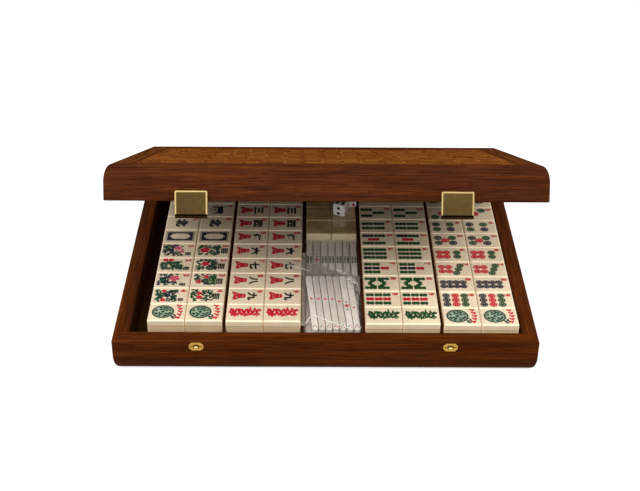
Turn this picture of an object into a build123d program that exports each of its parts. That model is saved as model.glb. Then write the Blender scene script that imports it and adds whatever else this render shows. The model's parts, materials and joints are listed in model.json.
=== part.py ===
from build123d import *
import os
from math import atan2, cos, degrees, radians, tan

# A flat hinged wooden case with its mahjong set packed in it: two layers of tiles in
# four banks, a middle compartment with spare blanks, dice and two bags of counting
# sticks, and a lid held open at its display angle.
#
# Millimetres and degrees. +X right, +Y towards the hinges, +Z up. The origin is the
# middle of the case's underside, so the case stands on Z = 0. Lid pieces are modelled
# shut and turned about the hinge axis when they are saved.

# ------------------------------------------------------------------ driving sizes
# Tiles and what else the case holds
TILE_LENGTH = 35.5  # along X
TILE_WIDTH = 27.4  # along Y
TILE_THICKNESS = 19.1
TILE_ROUND = 1.7  # radius of every tile edge
TILE_GAP = 0.1  # between neighbours, and between the two layers
TILE_ROWS = 10
BANK_SLIDES = {  # how far each bank has slid back from the front
    "far_left": 5.3,
    "near_left": 4.7,
    "near_right": 1.2,
    "far_right": 0.0,
}
BANK_COLUMNS = 2
TILE_LAYERS = 2
BLANK_WIDTH = 26.6  # spare blanks, along X
BLANK_DEPTH = 28.0  # spare blanks, along Y
BLANK_ROWS = 3
DIE_SIZE = 14.0
DIE_ROUND = 2.4
DIE_SEAT = (10.4, 42.2)  # front die: right of the bay's middle, behind the blanks' front
DIE_TURN = -22.0
DIE_STEP = (9.7, 19.0)  # from the front die to the other
OTHER_DIE_TURN = 10.0
STICK_LENGTH = 81.0
STICK_WIDTH = 6.6
STICK_THICKNESS = 3.4
STICK_GAP = 0.05
LOOSE_LAYERS = 2  # sticks of the front bag that have slid back on to the other bag
LOOSE_SLIDE = 2.5
LOOSE_TURN = 5.0
BAG_FILM = 0.3  # drawn thicker than the real film
BAG_PLAY = 0.2  # between a bag and what stands next to it
MOUTH_REACH = 30.0  # how far the front bag's mouth lies over the rear bag
MOUTH_HEIGHT = 2.0
FLAP_REACH = 20.0  # loose corner of film over the tiles on the left
FLAP_LENGTH = 30.0

# Walls, boards and linings
WALL = 14.2  # wall thickness at the rim
BASE_HEIGHT = 34.3
FLOOR_THICKNESS = 4.0
FLOOR_RABBET = 5.0  # how far the floor board reaches under each wall
LINING = 0.6  # cloth on floor, walls and lid
LINING_DROP = 1.0  # top of the wall lining below the rim
RIM_GAP = 0.2  # between the two rims when the lid is shut
CURVE_HEIGHT = 16.0  # rounded outer edge of the case: how high it starts
CURVE_INSET = 6.5  # and how far it runs in
RIM_ROUND = 1.4  # outer arris of each rim
ARRIS = 0.5  # inner arris of each rim and of the lid's rail
RAIL_WIDTH = 22.0  # lid's top rail, from the outer face
RAIL_RECESS = 1.8  # top of the lid board below the rail
BOARD_RABBET = 5.0  # how far the lid board reaches under the rail
VENEER = 0.6  # inlaid top of the lid board
BOARD_CORE = 5.6

# Compartments
DIVIDER_THICKNESS = 2.5
DIVIDER_HEIGHT = 30.0
DIVIDER_PLAY = 0.2
FINGER_GAP = 16.6  # free space beside the leftmost bank
RIGHT_GAP = 2.6
FRONT_PLAY = 0.5
REAR_GAP = 14.9
CENTRE_PLAY = 1.15  # each side of the spare blanks
HEADROOM = 1.7  # over the dice when the lid is shut

# Hinges
LID_OPEN = 24.4  # display angle of the lid
HINGE_SPACING = 230.0
HINGE_LENGTH = 40.0
LEAF_WIDTH = 10.0
LEAF_THICKNESS = 1.2
LEAF_SET_BACK = 0.2  # leaf plate's edge behind the case's back face
KNUCKLES = 5
KNUCKLE_RADIUS = 2.4
KNUCKLE_PLAY = 0.15
PIN_RADIUS = 1.2
PIN_CLEARANCE = 0.05
BARREL_CLEARANCE = 0.15  # knuckles to the case's back face
HINGE_SCREWS = 3
HINGE_SCREW_PITCH = 13.0

# Screws and brads
SCREW_HEAD = 2.0
SCREW_SHANK = 0.9
SCREW_LENGTH = 9.0
SCREW_CLEARANCE = 0.05
SCREW_SLOT = 0.5
BRAD_HEAD = 0.8
BRAD_SHANK = 0.45
BRAD_LENGTH = 5.0
BRAD_DOME = 0.35

# Latches
LATCH_SPACING = 238.0
LATCH_SHIFT = -2.0  # both latches sit left of the case's middle
FLAP_WIDTH = 29.0
FLAP_ABOVE = 10.0  # flap's top edge above the lid's rim
FLAP_BELOW = 12.0  # start of the finger lip below the lid's rim
FLAP_THICKNESS = 1.2
FLAP_CORNER = 1.2
BORDER_WIDTH = 1.3
BORDER_HEIGHT = 0.5
LIP_RADIUS = 3.3
LIP_ANGLE = 65.0
BRACKET_WIDTH = 24.0
BRACKET_THICKNESS = 1.0
BRACKET_RISE = 1.4  # bracket's lower edge above the lid's rim
LATCH_KNUCKLE = 1.6
LATCH_PIN = 0.8
LATCH_KNUCKLE_LENGTH = 4.0
LATCH_CLEARANCE = 0.1
LATCH_SCREW_PITCH = 14.0
CATCH_WIDTH = 13.5
CATCH_HEIGHT = 8.8
CATCH_THICKNESS = 1.0
CATCH_CORNER = 2.6
CATCH_DROP = 1.6  # catch plate's top below the base's rim
TONGUE_WIDTH = 5.0
TONGUE_HEIGHT = 3.4
TONGUE_BULGE = 1.2
BRAD_PITCH = 9.6
HOOK_WIDTH = 6.0  # bar inside the flap that snaps under the catch's tongue
HOOK_HEIGHT = 1.4
HOOK_BITE = 0.4
HOOK_GAP = 0.3

# ------------------------------------------------------------------ derived places
TILE_PITCH_X = TILE_LENGTH + TILE_GAP
TILE_PITCH_Y = TILE_WIDTH + TILE_GAP
TILE_PITCH_Z = TILE_THICKNESS + TILE_GAP
BANK_WIDTH = BANK_COLUMNS * TILE_PITCH_X - TILE_GAP
CENTRE_WIDTH = 2 * BLANK_WIDTH + TILE_GAP + 2 * CENTRE_PLAY
INNER_WIDTH = (
    FINGER_GAP
    + 4 * BANK_WIDTH
    + 6 * DIVIDER_PLAY
    + 4 * DIVIDER_THICKNESS
    + CENTRE_WIDTH
    + RIGHT_GAP
)
INNER_DEPTH = FRONT_PLAY + TILE_ROWS * TILE_PITCH_Y + REAR_GAP
CASE_WIDTH = INNER_WIDTH + 2 * (WALL + LINING)
CASE_DEPTH = INNER_DEPTH + 2 * (WALL + LINING)
TRAY_FLOOR = FLOOR_THICKNESS + LINING
TILE_TOP = TRAY_FLOOR + TILE_LAYERS * TILE_PITCH_Z - TILE_GAP
LID_RIM = BASE_HEIGHT + RIM_GAP
LID_BOARD_STACK = RAIL_RECESS + VENEER + BOARD_CORE
LID_CEILING = TILE_TOP + DIE_SIZE + HEADROOM
CASE_TOP = LID_CEILING + LINING + LID_BOARD_STACK
LID_HEIGHT = CASE_TOP - LID_RIM

FRONT_FACE = -CASE_DEPTH / 2
BACK_FACE = CASE_DEPTH / 2
FIRST_ROW = -INNER_DEPTH / 2 + FRONT_PLAY
HINGE_Y = BACK_FACE + BARREL_CLEARANCE + KNUCKLE_RADIUS
HINGE_Z = BASE_HEIGHT + RIM_GAP / 2
HINGE_AXIS = Axis((0, HINGE_Y, HINGE_Z), (-1, 0, 0))
HINGE_XS = (-HINGE_SPACING / 2, HINGE_SPACING / 2)
LATCH_XS = (LATCH_SHIFT - LATCH_SPACING / 2, LATCH_SHIFT + LATCH_SPACING / 2)

# Left edges of the tile banks and of the dividers, counted from the right wall
bank_left = {}
divider_left = {}
edge = INNER_WIDTH / 2 - RIGHT_GAP
for bank, width in (
    ("far_right", BANK_WIDTH),
    ("near_right", BANK_WIDTH),
    ("centre", CENTRE_WIDTH),
    ("near_left", BANK_WIDTH),
    ("far_left", BANK_WIDTH),
):
    play = 0 if bank == "centre" else DIVIDER_PLAY
    if bank != "far_right":
        edge -= play
    edge -= width
    bank_left[bank] = edge
    if bank != "far_left":
        edge -= play + DIVIDER_THICKNESS
        divider_left[bank] = edge
CENTRE_LEFT = bank_left["centre"]
CENTRE_RIGHT = CENTRE_LEFT + CENTRE_WIDTH
CENTRE_X = (CENTRE_LEFT + CENTRE_RIGHT) / 2


os.makedirs("parts", exist_ok=True)


# ------------------------------------------------------------------ helpers
def save(piece, name):
    """Writes one finished piece to its own STEP file."""
    piece.label = name
    export_step(piece, f"parts/{name}.step")


def save_on_lid(piece, name):
    """Writes a piece that was modelled with the lid shut, turned to the display angle."""
    save(piece.rotate(HINGE_AXIS, LID_OPEN), name)


def block(low, high):
    """A plain block between two corners."""
    with BuildPart() as made:
        with BuildSketch(Plane.XY.offset(low[2])):
            with Locations(((low[0] + high[0]) / 2, (low[1] + high[1]) / 2)):
                Rectangle(high[0] - low[0], high[1] - low[1])
        extrude(amount=high[2] - low[2])
    return made.part


def group(piece, spots):
    """Separate copies of one solid at several places."""
    solid = piece.solid()
    return Compound([solid.moved(Location(spot)) for spot in spots])


# ------------------------------------------------------------------ walls and boards
SIDES = {  # name: (outward direction, distance of the outer face, length)
    "front": (Vector(0, -1, 0), CASE_DEPTH / 2, CASE_WIDTH),
    "back": (Vector(0, 1, 0), CASE_DEPTH / 2, CASE_WIDTH),
    "left": (Vector(-1, 0, 0), CASE_WIDTH / 2, CASE_DEPTH),
    "right": (Vector(1, 0, 0), CASE_WIDTH / 2, CASE_DEPTH),
}
UP = Vector(0, 0, 1)


def wall_plane(side, lid):
    """Plane across a wall: x runs in from the outer face, y from the board side to the rim."""
    outward, distance, _ = SIDES[side]
    inward = -outward
    if lid:
        return Plane(outward * distance + UP * CASE_TOP, inward, UP.cross(inward))
    return Plane(outward * distance, inward, inward.cross(UP))


def wall(side, lid):
    """A mitred wall with its rounded outer edge, and the rail and rabbet for its board."""
    outward, distance, length = SIDES[side]
    along = outward.cross(UP)
    height = LID_HEIGHT if lid else BASE_HEIGHT
    reach = RAIL_WIDTH + WALL
    with BuildPart() as made:
        with BuildSketch(wall_plane(side, lid)):
            with BuildLine():
                EllipticalCenterArc(
                    (CURVE_INSET, CURVE_HEIGHT), CURVE_INSET, CURVE_HEIGHT, 180, arc_size=90
                )
                Line((0, CURVE_HEIGHT), (0, height - RIM_ROUND))
                CenterArc((RIM_ROUND, height - RIM_ROUND), RIM_ROUND, 90, 90)
                Line((RIM_ROUND, height), (WALL - ARRIS, height))
                CenterArc((WALL - ARRIS, height - ARRIS), ARRIS, 0, 90)
                if lid:
                    shelf = RAIL_WIDTH - BOARD_RABBET
                    Polyline(
                        (WALL, height - ARRIS),
                        (WALL, LID_BOARD_STACK),
                        (shelf, LID_BOARD_STACK),
                        (shelf, RAIL_RECESS),
                        (RAIL_WIDTH, RAIL_RECESS),
                        (RAIL_WIDTH, ARRIS),
                    )
                    CenterArc((RAIL_WIDTH - ARRIS, ARRIS), ARRIS, 270, 90)
                    Line((RAIL_WIDTH - ARRIS, 0), (CURVE_INSET, 0))
                else:
                    Polyline(
                        (WALL, height - ARRIS),
                        (WALL, FLOOR_THICKNESS),
                        (WALL - FLOOR_RABBET, FLOOR_THICKNESS),
                        (WALL - FLOOR_RABBET, 0),
                        (CURVE_INSET, 0),
                    )
            make_face()
        extrude(amount=length / 2, both=True)
        with BuildSketch(Plane.XY):
            outer = outward * distance
            inner = outward * (distance - reach)
            with BuildLine():
                Polyline(
                    outer - along * (length / 2),
                    outer + along * (length / 2),
                    inner + along * (length / 2 - reach),
                    inner - along * (length / 2 - reach),
                    close=True,
                )
            make_face()
        extrude(amount=CASE_TOP, mode=Mode.INTERSECT)
    return made.part


def screw_hole(radius, depth):
    """A hole for a screw or a brad, through the plane that the builder stands on."""
    Hole(radius + SCREW_CLEARANCE, depth=depth)


def hinge_screw_spots(lid):
    """Planes of the hinge screws, facing out of the rim."""
    height = LID_RIM if lid else BASE_HEIGHT
    y = BACK_FACE - LEAF_SET_BACK - LEAF_WIDTH / 2
    first = -(HINGE_SCREWS - 1) / 2 * HINGE_SCREW_PITCH
    return [
        Plane((x + first + k * HINGE_SCREW_PITCH, y, height), (1, 0, 0), -UP if lid else UP)
        for x in HINGE_XS
        for k in range(HINGE_SCREWS)
    ]


def latch_screw_spots():
    """Planes of the latch bracket screws, facing forwards."""
    z = (BRACKET_BOTTOM + LATCH_PIN_Z - LATCH_KNUCKLE) / 2
    y = FRONT_FACE - BRACKET_THICKNESS
    return [
        Plane((x + side * LATCH_SCREW_PITCH / 2, y, z), (1, 0, 0), (0, -1, 0))
        for x in LATCH_XS
        for side in (-1, 1)
    ]


def brad_spots():
    """Planes of the catch plate brads, facing forwards."""
    z = BASE_HEIGHT - CATCH_DROP - CATCH_HEIGHT / 2
    y = FRONT_FACE - CATCH_THICKNESS
    return [
        Plane((x + side * BRAD_PITCH / 2, y, z), (1, 0, 0), (0, -1, 0))
        for x in LATCH_XS
        for side in (-1, 1)
    ]


LATCH_PIN_Y = FRONT_FACE - BRACKET_THICKNESS - LATCH_CLEARANCE - LATCH_KNUCKLE
LATCH_PIN_Z = LID_RIM + FLAP_ABOVE - LATCH_KNUCKLE
BRACKET_BOTTOM = LID_RIM + BRACKET_RISE
LATCH_PILOT = max(SCREW_SHANK, SCREW_HEAD - BRACKET_THICKNESS)  # clears the screw's head too


def mortised_back_wall(lid):
    """Back wall with a mortise and pilot holes for each hinge leaf."""
    low = LID_RIM if lid else BASE_HEIGHT - LEAF_THICKNESS
    with BuildPart() as made:
        add(wall("back", lid))
        for x in HINGE_XS:
            with BuildSketch(Plane.XY.offset(low)):
                with Locations((x, BACK_FACE - (LEAF_WIDTH + LEAF_SET_BACK) / 2)):
                    Rectangle(
                        HINGE_LENGTH + 2 * TILE_GAP, LEAF_WIDTH + LEAF_SET_BACK + 2 * TILE_GAP
                    )
            extrude(amount=LEAF_THICKNESS, mode=Mode.SUBTRACT)
        with Locations(*hinge_screw_spots(lid)):
            screw_hole(SCREW_SHANK, SCREW_LENGTH + SCREW_CLEARANCE)
    return made.part


def front_wall(lid):
    """Front wall with pilot holes for the latch brackets or the catch plates."""
    with BuildPart() as made:
        add(wall("front", lid))
        if lid:
            with Locations(*latch_screw_spots()):
                screw_hole(LATCH_PILOT, SCREW_LENGTH + SCREW_CLEARANCE)
        else:
            with Locations(*brad_spots()):
                screw_hole(BRAD_SHANK, BRAD_LENGTH + SCREW_CLEARANCE)
    return made.part


save(front_wall(lid=False), "base_front_wall")
save(mortised_back_wall(lid=False), "base_back_wall")
save(wall("left", lid=False), "base_left_wall")
save(wall("right", lid=False), "base_right_wall")
save_on_lid(front_wall(lid=True), "lid_front_wall")
save_on_lid(mortised_back_wall(lid=True), "lid_back_wall")
save_on_lid(wall("left", lid=True), "lid_left_wall")
save_on_lid(wall("right", lid=True), "lid_right_wall")

# Floor board and lid board, each let into a rabbet round the walls
floor_x = CASE_WIDTH / 2 - WALL + FLOOR_RABBET
floor_y = CASE_DEPTH / 2 - WALL + FLOOR_RABBET
save(block((-floor_x, -floor_y, 0), (floor_x, floor_y, FLOOR_THICKNESS)), "base_floor")

board_x = CASE_WIDTH / 2 - RAIL_WIDTH + BOARD_RABBET
board_y = CASE_DEPTH / 2 - RAIL_WIDTH + BOARD_RABBET
core_top = CASE_TOP - RAIL_RECESS - VENEER
core_low = CASE_TOP - LID_BOARD_STACK
save_on_lid(block((-board_x, -board_y, core_low), (board_x, board_y, core_top)), "lid_board")
save_on_lid(
    block((-board_x, -board_y, core_top), (board_x, board_y, core_top + VENEER)), "lid_inlay"
)

# Cloth linings
half_x = CASE_WIDTH / 2 - WALL
half_y = CASE_DEPTH / 2 - WALL


def wall_lining(low, high):
    """A band of cloth round the four inner wall faces."""
    with BuildPart() as made:
        with BuildSketch(Plane.XY.offset(low)):
            Rectangle(2 * half_x, 2 * half_y)
            Rectangle(2 * half_x - 2 * LINING, 2 * half_y - 2 * LINING, mode=Mode.SUBTRACT)
        extrude(amount=high - low)
    return made.part


save(
    block((-half_x, -half_y, FLOOR_THICKNESS), (half_x, half_y, TRAY_FLOOR)),
    "base_floor_lining",
)
save(wall_lining(TRAY_FLOOR, BASE_HEIGHT - LINING_DROP), "base_wall_lining")
save_on_lid(
    block((-half_x, -half_y, LID_CEILING), (half_x, half_y, core_low)), "lid_board_lining"
)
save_on_lid(wall_lining(LID_RIM + LINING_DROP, LID_CEILING), "lid_wall_lining")

# Dividers, named by the compartment on their right
for right_of, name in (
    ("near_left", "divider_far_left"),
    ("centre", "divider_near_left"),
    ("near_right", "divider_near_right"),
    ("far_right", "divider_far_right"),
):
    left = divider_left[right_of]
    save(
        block(
            (left, -INNER_DEPTH / 2, TRAY_FLOOR),
            (left + DIVIDER_THICKNESS, INNER_DEPTH / 2, TRAY_FLOOR + DIVIDER_HEIGHT),
        ),
        name,
    )

# ------------------------------------------------------------------ screws and brads
with BuildPart() as screw:
    with BuildSketch(Plane.XZ):
        with BuildLine():
            Polyline(
                (0, 0),
                (SCREW_HEAD, 0),
                (SCREW_SHANK, SCREW_SHANK - SCREW_HEAD),
                (SCREW_SHANK, -SCREW_LENGTH + SCREW_SHANK),
                (0, -SCREW_LENGTH),
                close=True,
            )
        make_face()
    revolve(axis=Axis.Z)
    with BuildSketch(Plane.XY):
        Rectangle(2 * SCREW_HEAD, SCREW_SLOT)
    extrude(amount=-SCREW_SLOT, mode=Mode.SUBTRACT)

with BuildPart() as brad:
    with BuildSketch(Plane.XZ):
        with BuildLine():
            RadiusArc(
                (BRAD_HEAD, 0),
                (0, BRAD_DOME),
                -(BRAD_HEAD**2 + BRAD_DOME**2) / (2 * BRAD_DOME),
            )
            Polyline(
                (0, BRAD_DOME),
                (0, -BRAD_LENGTH),
                (BRAD_SHANK, -BRAD_LENGTH + BRAD_SHANK),
                (BRAD_SHANK, 0),
                (BRAD_HEAD, 0),
            )
        make_face()
    revolve(axis=Axis.Z)

save(group(screw.part, hinge_screw_spots(lid=False)), "base_hinge_screws")
save_on_lid(group(screw.part, hinge_screw_spots(lid=True)), "lid_hinge_screws")
save_on_lid(group(screw.part, latch_screw_spots()), "latch_screws")
save(group(brad.part, brad_spots()), "catch_brads")

# ------------------------------------------------------------------ hinges
KNUCKLE_PITCH = HINGE_LENGTH / KNUCKLES


def screw_countersinks(spots):
    """Countersunk holes for screws whose heads end flush with the plate."""
    with Locations(*spots):
        CounterSinkHole(
            SCREW_SHANK + SCREW_CLEARANCE, SCREW_HEAD + SCREW_CLEARANCE, counter_sink_angle=90
        )


def hinge_leaf(middle, lid):
    """A leaf with its own knuckles, seated in the mortise of its rim."""
    low = LID_RIM if lid else BASE_HEIGHT - LEAF_THICKNESS
    edge_y = BACK_FACE - LEAF_SET_BACK
    with BuildPart() as made:
        with BuildSketch(Plane.XY.offset(low)):
            with Locations((middle, edge_y - LEAF_WIDTH / 2)):
                Rectangle(HINGE_LENGTH, LEAF_WIDTH)
        extrude(amount=LEAF_THICKNESS)
        for k in range(1 if lid else 0, KNUCKLES, 2):
            start = middle - HINGE_LENGTH / 2 + k * KNUCKLE_PITCH + KNUCKLE_PLAY / 2
            with BuildSketch(Plane.YZ.offset(start)):
                with Locations((HINGE_Y, HINGE_Z)):
                    Circle(KNUCKLE_RADIUS)
                with Locations(((edge_y + HINGE_Y) / 2, low + LEAF_THICKNESS / 2)):
                    Rectangle(HINGE_Y - edge_y, LEAF_THICKNESS)
            extrude(amount=KNUCKLE_PITCH - KNUCKLE_PLAY)
        with BuildSketch(Plane.YZ.offset(middle)):
            with Locations((HINGE_Y, HINGE_Z)):
                Circle(PIN_RADIUS + PIN_CLEARANCE)
        extrude(amount=HINGE_LENGTH, both=True, mode=Mode.SUBTRACT)
        screw_countersinks(
            [p for p in hinge_screw_spots(lid) if abs(p.origin.X - middle) < HINGE_LENGTH / 2]
        )
    return made.part


def hinge_pin(middle):
    """A plain pin as long as its barrel."""
    with BuildPart() as made:
        with BuildSketch(Plane.YZ.offset(middle)):
            with Locations((HINGE_Y, HINGE_Z)):
                Circle(PIN_RADIUS)
        extrude(amount=HINGE_LENGTH / 2, both=True)
        chamfer(made.edges().filter_by(GeomType.CIRCLE), PIN_RADIUS / 4)
    return made.part


for x, side in zip(HINGE_XS, ("left", "right")):
    save(hinge_leaf(x, lid=False), f"hinge_{side}_base_leaf")
    save_on_lid(hinge_leaf(x, lid=True), f"hinge_{side}_lid_leaf")
    save(hinge_pin(x), f"hinge_{side}_pin")

# ------------------------------------------------------------------ latches
FLAP_BACK = LATCH_PIN_Y - LATCH_KNUCKLE - LATCH_CLEARANCE
FLAP_FRONT = FLAP_BACK - FLAP_THICKNESS
FLAP_TOP = LID_RIM + FLAP_ABOVE
FLAP_BEND = LID_RIM - FLAP_BELOW
TONGUE_Z = BASE_HEIGHT - CATCH_DROP - CATCH_HEIGHT / 2


def latch_bracket(middle):
    """Plate screwed to the lid's front, with a knuckle at each end for the latch pin."""
    with BuildPart() as made:
        with BuildSketch(Plane.XZ.offset(-FRONT_FACE)):
            with Locations((middle, (BRACKET_BOTTOM + LATCH_PIN_Z) / 2)):
                Rectangle(BRACKET_WIDTH, LATCH_PIN_Z - BRACKET_BOTTOM)
        extrude(amount=BRACKET_THICKNESS)
        for end in (-1, 1):
            centre = middle + end * (BRACKET_WIDTH - LATCH_KNUCKLE_LENGTH) / 2
            with BuildSketch(Plane.YZ.offset(centre)):
                with Locations((LATCH_PIN_Y, LATCH_PIN_Z)):
                    Circle(LATCH_KNUCKLE)
                with Locations(((LATCH_PIN_Y + FRONT_FACE) / 2, LATCH_PIN_Z)):
                    Rectangle(FRONT_FACE - LATCH_PIN_Y, LATCH_KNUCKLE)
            extrude(amount=LATCH_KNUCKLE_LENGTH / 2, both=True)
        with BuildSketch(Plane.YZ.offset(middle)):
            with Locations((LATCH_PIN_Y, LATCH_PIN_Z)):
                Circle(LATCH_PIN + PIN_CLEARANCE)
        extrude(amount=BRACKET_WIDTH, both=True, mode=Mode.SUBTRACT)
        screw_countersinks(
            [p for p in latch_screw_spots() if abs(p.origin.X - middle) < BRACKET_WIDTH / 2]
        )
    return made.part


def latch_pin(middle):
    """Plain pin through the bracket's knuckles and the flap's."""
    with BuildPart() as made:
        with BuildSketch(Plane.YZ.offset(middle)):
            with Locations((LATCH_PIN_Y, LATCH_PIN_Z)):
                Circle(LATCH_PIN)
        extrude(amount=BRACKET_WIDTH / 2, both=True)
    return made.part


def latch_flap(middle):
    """Flap that hangs from the pin, with a raised border and a lip curled in at its foot."""
    lip_end = 180 + LIP_ANGLE
    inner = LIP_RADIUS - FLAP_THICKNESS
    centre = (FLAP_FRONT + LIP_RADIUS, FLAP_BEND)
    knuckle_half = BRACKET_WIDTH / 2 - LATCH_KNUCKLE_LENGTH - LATCH_CLEARANCE
    with BuildPart() as made:
        with BuildSketch(Plane.YZ.offset(middle)):
            with BuildLine():
                Line((FLAP_FRONT, FLAP_BEND), (FLAP_FRONT, FLAP_TOP))
                Line((FLAP_FRONT, FLAP_TOP), (FLAP_BACK, FLAP_TOP))
                Line((FLAP_BACK, FLAP_TOP), (FLAP_BACK, FLAP_BEND))
                outer_arc = CenterArc(centre, LIP_RADIUS, 180, LIP_ANGLE)
                inner_arc = CenterArc(centre, inner, 180, LIP_ANGLE)
                Line(outer_arc @ 1, inner_arc @ 1)
            make_face()
        extrude(amount=FLAP_WIDTH / 2, both=True)
        corners = made.edges().filter_by(Axis.Y).group_by(Axis.Z)[-1]
        fillet(corners, FLAP_CORNER)
        # Raised border along the top and down both sides
        with BuildSketch(Plane.XZ.offset(-FLAP_FRONT)) as border:
            with Locations((middle, (FLAP_TOP + FLAP_BEND) / 2)):
                Rectangle(FLAP_WIDTH, FLAP_TOP - FLAP_BEND)
            fillet(border.vertices().group_by(Axis.Z)[-1], FLAP_CORNER)
            with Locations((middle, (FLAP_TOP - BORDER_WIDTH + FLAP_BEND) / 2)):
                Rectangle(
                    FLAP_WIDTH - 2 * BORDER_WIDTH,
                    FLAP_TOP - BORDER_WIDTH - FLAP_BEND,
                    mode=Mode.SUBTRACT,
                )
        extrude(amount=BORDER_HEIGHT)
        # Bar on the back that snaps under the catch's tongue
        bar_top = TONGUE_Z - TONGUE_HEIGHT / 2 - HOOK_GAP
        bar_tip = FRONT_FACE - CATCH_THICKNESS - TONGUE_BULGE + HOOK_BITE
        with BuildSketch(Plane.YZ.offset(middle)):
            with Locations(((bar_tip + FLAP_BACK) / 2, bar_top - HOOK_HEIGHT / 2)):
                Rectangle(bar_tip - FLAP_BACK, HOOK_HEIGHT)
        extrude(amount=HOOK_WIDTH / 2, both=True)
        # Middle knuckle and the web that carries it
        with BuildSketch(Plane.YZ.offset(middle)):
            with Locations((LATCH_PIN_Y, LATCH_PIN_Z)):
                Circle(LATCH_KNUCKLE)
            with Locations(((LATCH_PIN_Y + FLAP_BACK) / 2, LATCH_PIN_Z)):
                Rectangle(LATCH_PIN_Y - FLAP_BACK, 2 * LATCH_KNUCKLE)
        extrude(amount=knuckle_half, both=True)
        with BuildSketch(Plane.YZ.offset(middle)):
            with Locations((LATCH_PIN_Y, LATCH_PIN_Z)):
                Circle(LATCH_PIN + PIN_CLEARANCE)
        extrude(amount=knuckle_half * 2, both=True, mode=Mode.SUBTRACT)
    return made.part


def catch_plate(middle):
    """Small plate with clipped corners and a bulged tongue, on the base's front."""
    front = FRONT_FACE - CATCH_THICKNESS
    with BuildPart() as made:
        with BuildSketch(Plane.XZ.offset(-FRONT_FACE)) as outline:
            with Locations((middle, TONGUE_Z)):
                Rectangle(CATCH_WIDTH, CATCH_HEIGHT)
            chamfer(outline.vertices(), CATCH_CORNER)
        extrude(amount=CATCH_THICKNESS)
        with BuildSketch(Plane.YZ.offset(middle)):
            with BuildLine():
                foot = (front, TONGUE_Z - TONGUE_HEIGHT / 2)
                head = (front, TONGUE_Z + TONGUE_HEIGHT / 2)
                ThreePointArc(foot, (front - TONGUE_BULGE, TONGUE_Z), head)
                Line(head, foot)
            make_face()
        extrude(amount=TONGUE_WIDTH / 2, both=True)
        with Locations(*[p for p in brad_spots() if abs(p.origin.X - middle) < CATCH_WIDTH]):
            screw_hole(BRAD_SHANK, CATCH_THICKNESS)
    return made.part


for x, side in zip(LATCH_XS, ("left", "right")):
    save_on_lid(latch_bracket(x), f"latch_{side}_bracket")
    save_on_lid(latch_pin(x), f"latch_{side}_pin")
    save_on_lid(latch_flap(x), f"latch_{side}_flap")
    save(catch_plate(x), f"catch_{side}_plate")


# ------------------------------------------------------------------ tiles
def rounded_block(length, width, height, radius):
    """A block standing on Z = 0 about the origin, with every edge rounded."""
    with BuildPart() as made:
        with BuildSketch(Plane.XY):
            Rectangle(length, width)
        extrude(amount=height)
        fillet(made.edges(), radius)
    return made.part


tile = rounded_block(TILE_LENGTH, TILE_WIDTH, TILE_THICKNESS, TILE_ROUND)


def tile_spots(bank, columns, rows):
    """Places of both layers of tiles in some columns and rows of one bank."""
    return [
        (
            bank_left[bank] + TILE_LENGTH / 2 + column * TILE_PITCH_X,
            FIRST_ROW + BANK_SLIDES[bank] + TILE_WIDTH / 2 + row * TILE_PITCH_Y,
            TRAY_FLOOR + layer * TILE_PITCH_Z,
        )
        for layer in range(TILE_LAYERS)
        for row in rows
        for column in columns
    ]


all_columns = range(BANK_COLUMNS)
first_row = range(1)
suit_rows = range(1, TILE_ROWS)
FLOWER_ROWS = range(1, 5)
DRAGON_ROW = range(5, 6)
WIND_ROWS = range(6, TILE_ROWS)
tile_groups = {
    "joker_tiles": tile_spots("far_left", all_columns, first_row)
    + tile_spots("far_right", all_columns, first_row),
    "flower_tiles": tile_spots("far_left", [0], FLOWER_ROWS),
    "season_tiles": tile_spots("far_left", [1], FLOWER_ROWS),
    "white_dragon_tiles": tile_spots("far_left", all_columns, DRAGON_ROW),
    "wind_tiles": tile_spots("far_left", all_columns, WIND_ROWS),
    "red_dragon_tiles": tile_spots("near_left", all_columns, first_row),
    "character_tiles": tile_spots("near_left", all_columns, suit_rows),
    "green_dragon_tiles": tile_spots("near_right", all_columns, first_row),
    "bamboo_tiles": tile_spots("near_right", all_columns, suit_rows),
    "circle_tiles": tile_spots("far_right", all_columns, suit_rows),
}
for name, spots in tile_groups.items():
    save(group(tile, spots), name)

# ------------------------------------------------------------------ middle compartment
STICK_PITCH_X = STICK_WIDTH + STICK_GAP
STICK_PITCH_Z = STICK_THICKNESS + STICK_GAP
BAG_SPAN = STICK_LENGTH + 2 * BAG_FILM + 2 * STICK_GAP
BAG_WIDTH = CENTRE_WIDTH - 2 * BAG_PLAY
BAG_FLOOR = TRAY_FLOOR + BAG_FILM
STICKS_ACROSS = int((BAG_WIDTH - 2 * BAG_FILM) / STICK_PITCH_X)
PILE_HEADROOM = BAG_FILM + STICK_THICKNESS  # between the rear pile and the tiles' tops
REAR_LAYERS = int((TILE_TOP - BAG_FLOOR - PILE_HEADROOM) / STICK_PITCH_Z)
FRONT_LAYERS = REAR_LAYERS - LOOSE_LAYERS
FRONT_BAG_START = -INNER_DEPTH / 2 + BAG_PLAY
REAR_BAG_START = FRONT_BAG_START + BAG_SPAN + BAG_PLAY
BLANK_START = REAR_BAG_START + BAG_SPAN + BAG_PLAY
FRONT_PILE_TOP = BAG_FLOOR + FRONT_LAYERS * STICK_PITCH_Z
REAR_PILE_TOP = BAG_FLOOR + REAR_LAYERS * STICK_PITCH_Z
REAR_BAG_TOP = REAR_PILE_TOP + BAG_FILM

blank = rounded_block(BLANK_WIDTH, BLANK_DEPTH, TILE_THICKNESS, TILE_ROUND)
blank_spots = [
    (
        CENTRE_X + side * (BLANK_WIDTH + TILE_GAP) / 2,
        BLANK_START + BLANK_DEPTH / 2 + row * (BLANK_DEPTH + TILE_GAP),
        TRAY_FLOOR + layer * TILE_PITCH_Z,
    )
    for layer in range(TILE_LAYERS)
    for row in range(BLANK_ROWS)
    for side in (-1, 1)
]
save(group(blank, blank_spots), "blank_tiles")

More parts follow.
